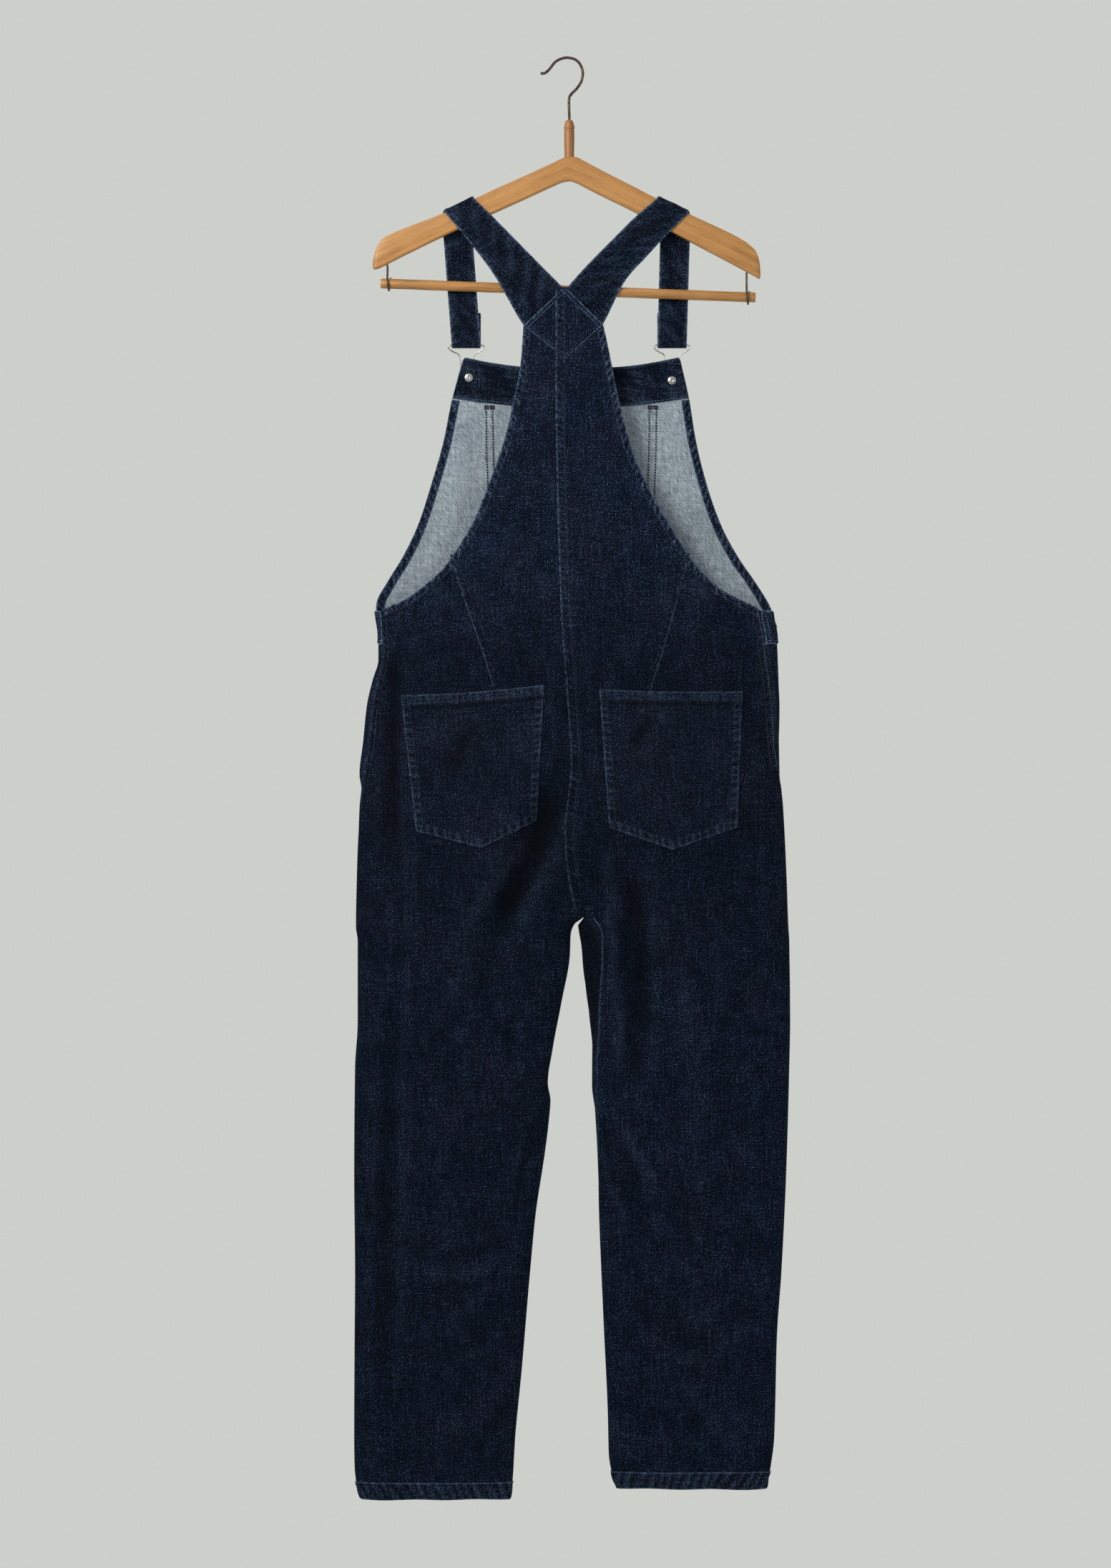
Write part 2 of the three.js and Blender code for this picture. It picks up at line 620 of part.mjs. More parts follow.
// The bib with its facings inside, its pocket and the waistband below it.
function addBib() {
  const grid = gridOf(bibPoint, () => evenly(BIB_CELLS_ACROSS), evenly(12), { step: 1e-3, turn: 1 });
  const outwards = grid[3][3].normal.y > 0 ? 1 : -1;
  grid.flat().forEach(({ normal }) => normal.multiplyScalar(outwards));
  add("bib", wall(grid, -CLOTH, 0), DENIM);

  const inside = { near: -CLOTH - GAP - PATCH, far: -CLOTH - GAP };
  const bandFoot = (s) => bibPoint(s, 0).z - BIB_BAND_HEIGHT;
  const wide = 260;
  const foot = evenly(12).map((s) => [THREE.MathUtils.lerp(-wide / 2, wide / 2 + 12, s), bandFoot(s)]);
  const outline = [[-wide, BIB_TOP_Z + 20], [wide, BIB_TOP_Z + 20], [wide, bandFoot(1)]];
  addPatch("bib_band_facing", grid, [...outline, ...foot.toReversed(), [-wide, bandFoot(0)]], inside.near, inside.far);
  for (const side of ["left", "right"]) {
    const inwards = side === "left" ? 1 : -1;
    const levels = heights(bandFoot(0) - 3, [{ to: WAIST_Z - 4, steps: 14 }]);
    const innerEdge = levels.map((z) => [bibEdge[side](z) + inwards * BIB_SIDE_FACING, z]);
    const outerEdge = levels.map((z) => [bibEdge[side](z) - inwards * BIB_SIDE_FACING, z]).toReversed();
    addPatch(`bib_side_facing_${side}`, grid, [...innerEdge, ...outerEdge], inside.near, inside.far);
  }
  const { left, right, top, side, point } = BIB_POCKET;
  const pocket = [[left, top], [right, top], [right, side], [(left + right) / 2, point], [left, side]];
  const hem = [[left + 0.5, top], [right - 0.5, top], [right - 0.5, top - POCKET_HEM], [left + 0.5, top - POCKET_HEM]];
  addPatch("bib_pocket", grid, pocket, GAP, GAP + PATCH, hem);

  const rows = heights(WAIST_Z - GAP, [{ to: WAIST_Z - BAND_HEIGHT, steps: 2 }]);
  const trim = 0.001;
  const across = () => evenly(22).map((s) => trim + s * (1 - 2 * trim));
  const band = gridOf(bandPoint, across, rows, { step: 0.05, turn: 1 });
  const bandOut = band[1][11].normal.y > 0 ? 1 : -1;
  band.flat().forEach(({ normal }) => normal.multiplyScalar(bandOut));
  add("front_waistband", wall(band, -CLOTH, HEM_RAISE), DENIM);
  return band;
}

// Where each strap's two edges run on the back, from its end under the yoke to the hanger's arm.
const STRAP_BACK = {
  left: [
    { in: [-4.6, -290], out: [-4.6, -338] },
    { in: [-4.6, -264], out: [-28, -325] },
    { in: [-6.5, -258.8], out: [-49.6, -303] },
    { in: [-30.3, -234.6], out: [-78, -254] },
    { in: [-56, -208.4], out: [-95, -229] },
    { in: [-84, -180], out: [-120, -197.5] },
  ],
  right: [
    { in: [-1.4, -290], out: [-1.4, -338] },
    { in: [-1.4, -264], out: [22, -325] },
    { in: [0.5, -259.2], out: [40.8, -301] },
    { in: [24.3, -232.7], out: [64.6, -254] },
    { in: [50, -206.8], out: [89, -226] },
    { in: [78, -179], out: [113, -200] },
  ],
};
// Where its edges meet the arm's top behind and in front, and where they end at the clasp.
const STRAP_FRONT = {
  left: { seatIn: -104.5, seatOut: -138, dropIn: -110.3, dropOut: -142.5, clipIn: -98.4, clipOut: -131.5 },
  right: { seatIn: 100.7, seatOut: 135.8, dropIn: 106.5, dropOut: 140, clipIn: 102.5, clipOut: 135.8 },
};
const CLIP_Z = -324;
const STRAP_Y = HANGER_THICKNESS / 2 + GAP + STRAP / 2;
const CLIP_BEND = CLASP_WIRE_RADIUS + GAP + STRAP / 2;

const armTop = track(ARMS, "top", "x");

// The strap's two edges, station by station: up the back, over the hanger's arm, down to the clasp,
// round the clasp's bar and up again.
function strapStations(side) {
  const stations = STRAP_BACK[side].map(({ in: [ix, iz], out: [ox, oz] }) => [
    new THREE.Vector3(ix, -STRAP_Y, iz),
    new THREE.Vector3(ox, -STRAP_Y, oz),
  ]);
  const { seatIn, seatOut, dropIn, dropOut, clipIn, clipOut } = STRAP_FRONT[side];
  // Over the arm the strap's cross lines keep to the arm's slope.
  const [sink, crown, turns] = [2.0, 5.3, 8];
  for (let i = 0; i <= turns; i++) {
    const angle = (Math.PI * i) / turns;
    const share = i / turns;
    const y = -STRAP_Y * Math.cos(angle);
    const lift = crown * Math.sin(angle) - sink;
    const [ix, ox] = [THREE.MathUtils.lerp(seatIn, dropIn, share), THREE.MathUtils.lerp(seatOut, dropOut, share)];
    stations.push([new THREE.Vector3(ix, y, armTop(ix) + lift), new THREE.Vector3(ox, y, armTop(ox) + lift)]);
  }
  const fall = (t, from, to) => new THREE.Vector3(
    THREE.MathUtils.lerp(from, to, t),
    STRAP_Y,
    THREE.MathUtils.lerp(armTop(from) - sink, CLIP_Z, t),
  );
  for (const t of [0.2, 0.4, 0.6, 0.8, 1]) stations.push([fall(t, dropIn, clipIn), fall(t, dropOut, clipOut)]);
  const around = (y, z) => stations.push([new THREE.Vector3(clipIn, y, z), new THREE.Vector3(clipOut, y, z)]);
  for (let i = 1; i <= 6; i++) {
    const angle = (Math.PI * i) / 6;
    around(STRAP_Y + CLIP_BEND * (1 - Math.cos(angle)), CLIP_Z - CLIP_BEND * Math.sin(angle));
  }
  around(STRAP_Y + 2 * CLIP_BEND, -305);
  around(STRAP_Y + 2 * CLIP_BEND, -287);
  return stations;
}

// A ribbon of even thickness about its stations' middle surface.
function ribbon(stations, cells, thickness) {
  const grid = stations.map(([a, b], i) => {
    const before = stations[Math.max(i - 1, 0)];
    const after = stations[Math.min(i + 1, stations.length - 1)];
    return evenly(cells).map((s) => {
      const forward = after[0].clone().lerp(after[1], s).sub(before[0].clone().lerp(before[1], s));
      const normal = b.clone().sub(a).cross(forward).normalize();
      return { point: a.clone().lerp(b, s), normal };
    });
  });
  return wall(grid, -thickness / 2, thickness / 2);
}

// A round wire along a smooth curve through points, closed by a flat at each end.
function wire(points, radius, steps, sides) {
  const curve = new THREE.CatmullRomCurve3(points.map((p) => new THREE.Vector3(...p)), false, "centripetal");
  const frames = curve.computeFrenetFrames(steps, false);
  const positions = [];
  const faces = [];
  for (let i = 0; i <= steps; i++) {
    const centreOfRing = curve.getPointAt(i / steps);
    for (let j = 0; j < sides; j++) {
      const angle = (2 * Math.PI * j) / sides;
      const spoke = frames.normals[i].clone().multiplyScalar(Math.cos(angle));
      spoke.addScaledVector(frames.binormals[i], Math.sin(angle));
      positions.push(...centreOfRing.clone().addScaledVector(spoke, radius).toArray());
      if (i === steps) continue;
      const [a, b] = [i * sides + j, i * sides + ((j + 1) % sides)];
      faces.push(a, b, b + sides, a, b + sides, a + sides);
    }
  }
  for (let j = 1; j < sides - 1; j++) {
    const end = steps * sides;
    faces.push(0, j + 1, j, end, end + j, end + j + 1);
  }
  return facingOut(positions, faces);
}

// A wire clasp: its bar lies in the strap's end, and its foot hooks round the bib button's shank.
function addClasp(side, button, seat) {
  const { clipIn, clipOut } = STRAP_FRONT[side];
  const middle = (clipIn + clipOut) / 2;
  const inStrap = STRAP_Y + CLIP_BEND;
  const hooked = seat + GAP + 1.7;
  // Half of the wire: how far it stands from its own middle line, its depth and its height.
  const half = [
    { off: 0, y: inStrap, z: CLIP_Z },
    { off: 10, y: inStrap, z: CLIP_Z },
    { off: 18.6, y: inStrap, z: CLIP_Z },
    { off: 20, y: inStrap, z: CLIP_Z - 3 },
    { off: 15.5, y: inStrap + 0.4, z: CLIP_Z - 7 },
    { off: 9.4, y: hooked, z: CLIP_Z - 10 },
    { off: 8, y: hooked, z: CLIP_Z - 15 },
    { off: 9, y: hooked, z: button.z + 12 },
    { off: 8.2, y: hooked, z: button.z + 6 },
    { off: 4.9, y: hooked, z: button.z + 1 },
    { off: 4.5, y: hooked, z: button.z - 2 },
  ];
  const lean = (z) => THREE.MathUtils.lerp(middle, button.x, smooth((CLIP_Z - 4 - z) / 24));
  const leftHalf = half.map(({ off, y, z }) => [lean(z) - off, y, z]);
  const rightHalf = half.map(({ off, y, z }) => [lean(z) + off, y, z]);
  leftHalf[0][0] -= 0.6;
  rightHalf[0][0] += 0.6;
  const path = [...leftHalf, [button.x, hooked, button.z - 5.4], ...rightHalf.toReversed()];
  add(`clasp_${side}`, wire(path, CLASP_WIRE_RADIUS, 52, 5), NICKEL);
}

// A turned piece whose axis stands on a surface: the profile's second number is the height above it.
function turned(profile, foot, outward, segments) {
  const geometry = new THREE.LatheGeometry(profile.map(([r, h]) => new THREE.Vector2(r, h)), segments);
  const turn = new THREE.Quaternion().setFromUnitVectors(new THREE.Vector3(0, 1, 0), outward);
  geometry.applyQuaternion(turn).translate(foot.x, foot.y, foot.z);
  return geometry;
}

const buttonProfile = [
  [0, 0],
  [3, 0],
  [3, 3.2],
  [BUTTON_RADIUS - 0.6, 3.2],
  [BUTTON_RADIUS, 4],
  [BUTTON_RADIUS - 0.5, 5],
  [BUTTON_RADIUS * 0.6, 5.7],
  [0, 5.9],
];
const rivetProfile = [
  [0, 0],
  [RIVET_RADIUS, 0],
  [RIVET_RADIUS, 0.7],
  [RIVET_RADIUS * 0.6, 1.5],
  [0, 1.7],
];

// The bib's outer face at one place.
function bibFace(x, z) {
  const ring = trunkRing(z);
  const angle = -angleAt((x - ring.middle) / ring.half);
  return frontPoint(0, z, angle, angle);
}

// A flat rectangular slide that the strap's end is threaded through.
function addSlide(side) {
  const { clipIn, clipOut } = STRAP_FRONT[side];
  const middle = (clipIn + clipOut) / 2;
  const [wide, high, rim] = [16.3, 7, 2.6];
  const frame = (path, inset) => {
    path.moveTo(middle - wide + inset, inset - high);
    path.lineTo(middle + wide - inset, inset - high);
    path.lineTo(middle + wide - inset, high - inset);
    path.lineTo(middle - wide + inset, high - inset);
    path.closePath();
    return path;
  };
  const plate = frame(new THREE.Shape(), 0);
  plate.holes.push(frame(new THREE.Path(), rim));
  const thickness = 1.4;
  const geometry = new THREE.ExtrudeGeometry(plate, { depth: thickness, bevelEnabled: false });
  const face = STRAP_Y + 2 * CLIP_BEND + STRAP / 2 + GAP;
  add(`strap_slide_${side}`, geometry.rotateX(Math.PI / 2).translate(0, face + thickness, -297), NICKEL);
}

// Stands a round button on one corner of a piece's grid, above its outer face.
function addSewnButton(name, { point, normal }, above) {
  const stand = point.clone().addScaledVector(normal, above + GAP);
  add(name, turned(buttonProfile, stand, normal, 12), NICKEL);
}

function addFastenings(grids, band) {
  const forward = new THREE.Vector3(0, 1, 0);
  for (const side of ["left", "right"]) {
    const button = BUTTONS[side];
    const face = bibFace(button.x, button.z);
    const foot = face.clone().setY(face.y + GAP + 0.25);
    add(`bib_button_${side}`, turned(buttonProfile, foot, forward, 16), NICKEL);
    const behind = face.clone().setY(face.y - CLOTH - PATCH - 2 * GAP - 0.25);
    add(`bib_rivet_${side}`, turned(rivetProfile, behind, forward.clone().negate(), 16), NICKEL);
    addClasp(side, button, face.y);
    addSlide(side);

    // One button holds the front waistband's end, and one the opening below it.
    addSewnButton(`waist_button_${side}`, band[1][side === "left" ? 4 : 18], HEM_RAISE);
    addSewnButton(`side_button_${side}`, grids[`front_${side}`][2][2], 0);
  }
}

// The wooden arms are one flat board with rounded ends and softened edges.
function addArms() {
  const top = ARMS.map(({ x, top: z }) => [x, z]);
  const foot = ARMS.map(({ x, foot: z }) => [x, z]).toReversed();
  const shape = new THREE.Shape([...top, ...foot].map(([x, z]) => new THREE.Vector2(x, z)));
  const arms = new THREE.ExtrudeGeometry(shape, {
    depth: HANGER_THICKNESS - 2 * ARM_BEVEL,
    bevelThickness: ARM_BEVEL,
    bevelSize: ARM_BEVEL,
    bevelOffset: -ARM_BEVEL,
    bevelSegments: 2,
  });
  add("hanger_arms", arms.rotateX(Math.PI / 2).translate(0, HANGER_THICKNESS / 2 - ARM_BEVEL, 0), BEECH);
}

// The hook's wire stands in a bored wooden peg.
function addHook() {
  const bore = HOOK_WIRE_RADIUS + GAP;
  const peg = [
    [0, -110],
    [5.7, -110],
    [PEG_RADIUS, -84],
    [PEG_RADIUS, -76],
    [5.4, -71.5],
    [3.6, -69.4],
    [bore, -69.2],
    [bore, -92],
    [0, -92],
  ];
  const turnedPeg = new THREE.LatheGeometry(peg.map(([r, z]) => new THREE.Vector2(r, z)), 18);
  add("hanger_peg", turnedPeg.rotateX(Math.PI / 2).translate(STEM_X, 0, 0), BEECH);
  const hook = [
    [STEM_X, 0, -91],
    [STEM_X, 0, -70],
    [2.0, 0, -46],
    [4.4, 0, -39.9],
    [11, 0, -33],
    [16, 0, -25],
    [17.6, 0, -15],
    [14.9, 0, -6.5],
    [9.3, 0, -0.6],
    [1.1, 0, HOOK_WIRE_RADIUS],
    [-6.3, 0, 0.7],
    [-13.9, 0, -3.4],
    [-20.5, 0, -11.6],
    [-25.5, 0, -15.7],
    [-30.4, 0, -16.2],
  ];
  add("hanger_hook", wire(hook, HOOK_WIRE_RADIUS, 48, 7), DARK_WIRE);
}

// The bar hangs from the arms' ends in two wires, each wound once round it.
function addBar() {
  const [from, to] = [new THREE.Vector3(-212, 0, -254.5), new THREE.Vector3(214, 0, -270.5)];
  const lean = Math.atan2(from.z - to.z, to.x - from.x);
  const bar = new THREE.CylinderGeometry(BAR_RADIUS, BAR_RADIUS, from.distanceTo(to), 16);
  bar.rotateZ(Math.PI / 2).rotateY(lean).translate((from.x + to.x) / 2, 0, (from.z + to.z) / 2);
  add("hanger_bar", bar, BEECH);
  const round = BAR_RADIUS + GAP + LOOP_WIRE_RADIUS + 0.4;
  const armFoot = track(ARMS, "foot", "x");
  for (const [side, x] of [["left", -204], ["right", 203.5]]) {
    const middle = THREE.MathUtils.mapLinear(x, from.x, to.x, from.z, to.z);
    const top = armFoot(x) - GAP - 0.5;
    const coil = [0, 1, 2, 3, 4, 5, 6].map((i) => {
      const angle = THREE.MathUtils.degToRad(120 + 50 * i);
      return [x + 0.55 * i, round * Math.cos(angle), middle + round * Math.sin(angle)];
    });
    const path = [[x, 0, top], [x, -0.6, THREE.MathUtils.lerp(top, middle + round, 0.5)], ...coil];
    add(`hanger_loop_${side}`, wire(path, LOOP_WIRE_RADIUS, 22, 6), DARK_WIRE);
  }
}

const grids = addPanels();
addBackPockets(grids);
const band = addBib();
for (const side of ["left", "right"]) {
  add(`strap_${side}`, ribbon(strapStations(side), 3, STRAP), DENIM);
}
addFastenings(grids, band);
addArms();
addHook();
addBar();

export default part;
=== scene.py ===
"""Denim dungarees that hang by their straps from a wooden hanger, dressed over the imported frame.

Tables and small sizes are in millimetres, as a cutter notes them, and become metres when a mesh is made.
The garment's back faces -Y, its front +Y, and +X is to the right as seen from behind.
"""
import logging
import math
from dataclasses import dataclass, field
from enum import Enum
from typing import Any, Callable, Iterator, NamedTuple, Optional, Sequence

import bpy
import numpy as np
from bpy.types import Material, Node, NodeSocket, NodeTree, Object
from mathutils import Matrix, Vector


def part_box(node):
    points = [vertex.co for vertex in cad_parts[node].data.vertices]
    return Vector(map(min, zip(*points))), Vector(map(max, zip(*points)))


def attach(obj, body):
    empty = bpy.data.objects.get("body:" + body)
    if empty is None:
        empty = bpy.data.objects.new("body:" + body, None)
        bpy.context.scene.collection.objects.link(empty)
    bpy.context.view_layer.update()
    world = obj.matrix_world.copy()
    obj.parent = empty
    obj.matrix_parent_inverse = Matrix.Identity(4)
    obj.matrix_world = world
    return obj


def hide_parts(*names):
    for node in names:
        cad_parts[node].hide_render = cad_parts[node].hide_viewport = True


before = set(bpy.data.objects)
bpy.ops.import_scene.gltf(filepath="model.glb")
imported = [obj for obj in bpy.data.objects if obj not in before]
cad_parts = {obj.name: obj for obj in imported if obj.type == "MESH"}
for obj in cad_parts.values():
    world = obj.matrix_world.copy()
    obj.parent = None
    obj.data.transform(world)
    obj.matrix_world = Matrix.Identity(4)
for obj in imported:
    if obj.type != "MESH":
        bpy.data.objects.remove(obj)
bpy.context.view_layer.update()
LOG = logging.getLogger("dungarees")

MM = 0.001
Array = np.ndarray
Point = tuple[float, float]

# The panels' seams are open by this much here, and by GAP in the frame.
SEAM = 0.02
# The frame's own driving sizes, in millimetres.
CLOTH = 1.4
PATCH = 1.1
GAP = 0.35
STRAP = 2.0
RING_POWER = 2.3
WAIST_Z = -626.0
BAND_HEIGHT = 38.0
CROTCH_Z = -972.0
RISE_TOP_Z = -875.0
HEM_HEIGHT = 20.0
YOKE_TOP_Z = -259.5
TURN_CELLS = 0.35
HANGER_THICKNESS = 12.0
STEM_X = 2.4
CLIP_Z = -324.0


class Side(Enum):
    """The garment's two halves, as seen from behind."""

    LEFT = "left"
    RIGHT = "right"

    @property
    def sign(self) -> int:
        """Which way along X this half lies."""
        return self.pick(-1, 1)

    def pick(self, left: Any, right: Any) -> Any:
        """Choose what belongs to this half."""
        return left if self is Side.LEFT else right


class Face(Enum):
    """The two faces that the flat garment shows."""

    BACK = "back"
    FRONT = "front"

    @property
    def turn(self) -> int:
        """One on the back and minus one on the front, as angles are counted."""
        return 1 if self is Face.BACK else -1


class Thread(Enum):
    """The sewing threads: one close to the cloth's own blue, one paler and a thick dark one."""

    TONAL = "tonal"
    PALE = "pale"
    NAVY = "navy"


HEM_Z = {Side.LEFT: -1634.0, Side.RIGHT: -1622.0}
THREAD_WIDTHS = {Thread.TONAL: 0.72, Thread.PALE: 0.75, Thread.NAVY: 1.9}
# z, left, right, back, front, how far each side seam lies round on the back, and the right opening's gape.
BODY = (
    (-258, -222, 226, 10.8, 9, 7, 15, 0), (-340, -222, 226, 11.5, 12, 7, 15, 0),
    (-450, -222, 227, 14, 15, 7, 15, 0), (-560, -221, 230, 18, 18, 7, 15, 0),
    (-626, -218, 233, 21, 20, 7, 14, 0), (-656, -214.5, 238, 23, 21, 5, 14, 1),
    (-682, -214.5, 239, 24, 22, 6, 12, 1.6), (-704, -221, 240, 25, 23, 7, 10, 2.2),
    (-734, -228, 241, 26, 24, 8, 8, 3), (-773, -232, 240.5, 27, 24, 8, 5, 3.4),
    (-812, -236, 241, 28, 25, 6, 1, 0), (-828, -234, 243, 28, 25, 3, 0, 0),
    (-849, -236, 245, 28, 25, 1, 0, 0), (-929, -239, 249, 27, 24, 0, 0, 0),
    (-985, -240, 251, 25, 22, 0, 0, 0), (-1000, -238, 252, 24, 21, 0, 0, 0),
    (-1093, -238, 253, 21, 19, 0, 0, 0), (-1145, -241, 252, 20, 18, 0, 0, 0),
    (-1265, -242, 248.5, 18, 17, 0, 0, 0), (-1378, -241, 243, 17, 16, 0, 0, 0),
    (-1450, -241.5, 238, 16, 15, 0, 0, 0), (-1563, -242, 235, 15, 14, 0, 0, 0),
    (-1597, -241.5, 231, 14, 14, 0, 0, 0), (-1622, -238.5, 226, 14, 14, 0, 0, 0),
    (-1634, -234, 225, 14, 14, 0, 0, 0),
)
# z, the leg's inner outline, and how far its inseam lies round on the back.
INNER = {
    Side.LEFT: (
        (-875, 8, 0), (-929, 12, 0), (-955, 16, 0), (-972, 19.6, 0), (-982, 8, -3), (-993, 4, -6),
        (-1017, 3, -8), (-1073, -7, -10), (-1126, -17, -8), (-1162, -22, -5), (-1182, -19, -3),
        (-1196, -20, -3), (-1239, -25, -4), (-1312, -36, -5), (-1375, -42, -4), (-1491, -52, -3),
        (-1564, -59, -2), (-1613, -62, 0), (-1634, -65, 0),
    ),
    Side.RIGHT: (
        (-875, 8, 0), (-929, 12, 0), (-955, 16, 0), (-972, 20.4, 0), (-982, 12, 17), (-1007, 16, 23),
        (-1033, 18, 22), (-1080, 24, 13), (-1123, 28, 7), (-1166, 28, 5), (-1192, 31, 3),
        (-1239, 34, 1), (-1312, 36, 0), (-1431, 41, 0), (-1540, 46, 0), (-1583, 47, 0),
        (-1607, 51, 0), (-1622, 56, 0),
    ),
}
# z, the back's centre seam, the front's centre seam.
CENTRE = (
    (-258, -3, 0), (-388, -3, 0), (-462, -2, 0), (-574, 1, 1), (-663, 5, 2), (-713, 9, 3),
    (-803, 14, 5), (-843, 10, 7), (-876, 7, 9), (-902, 8, 11), (-929, 11, 13), (-955, 16, 17),
    (-972, 20, 20),
)
# z and both armhole edges of the back.
ARMHOLE = (
    (-259.5, -5, -1), (-302, -47.5, 39.5), (-304, -50, 41), (-310, -50.3, 42.5), (-346, -53, 50),
    (-384, -60, 57.5), (-435, -72, 70.5), (-488, -91, 92), (-525, -106, 113.5), (-560, -127, 135),
    (-579, -141, 149), (-599, -163, 169), (-615, -186, 198), (-622, -203, 213), (-626, -211, 219),
)
# z and both side edges of the bib.
BIB_EDGES = (
    (-337, -118, 128), (-384, -131, 138.5), (-433, -141, 146.5), (-486, -156, 160),
    (-528, -170, 175), (-564, -187, 194), (-592, -204, 213), (-618, -217, 229), (-626, -217.5, 232.5),
)
BIB_TOP_Z = -337.0
BIB_TOP_DIP = 13.0
# The frame's large folds on each face: start, bow, end, width, height outwards.
FRAME_FOLDS = {
    Face.BACK: (
        ((-186, -650), (-206, -760), (-200, -1000), 11, -4),
        ((-200, -960), (-203, -1280), (-206, -1605), 12, -4),
        ((-2, -790), (-40, -890), (-98, -1030), 20, -9),
        ((-70, -840), (-120, -950), (-135, -1140), 30, 5),
        ((40, -880), (52, -960), (58, -1150), 10, 5),
        ((62, -900), (98, -1020), (66, -1200), 15, -8),
        ((-20, -1190), (-48, -1260), (-54, -1335), 9, -4),
        ((33, -1195), (60, -1262), (92, -1345), 12, -4),
        ((128, -1000), (150, -1150), (150, -1330), 28, 4),
        ((-60, -1390), (-110, -1450), (-170, -1480), 14, -3),
        ((60, -1400), (120, -1450), (190, -1470), 15, -3),
    ),
    Face.FRONT: (
        ((-200, -700), (-206, -950), (-200, -1300), 12, -4),
        ((-5, -800), (-50, -930), (-100, -1080), 18, -7),
        ((30, -830), (70, -940), (120, -1080), 18, -7),
        ((205, -720), (212, -960), (208, -1250), 12, -4),
        ((-30, -1200), (-90, -1270), (-150, -1310), 14, -4),
        ((50, -1200), (110, -1260), (170, -1300), 14, -4),
        ((-118, -400), (-122, -470), (-128, -560), 16, -2.5),
    ),
}
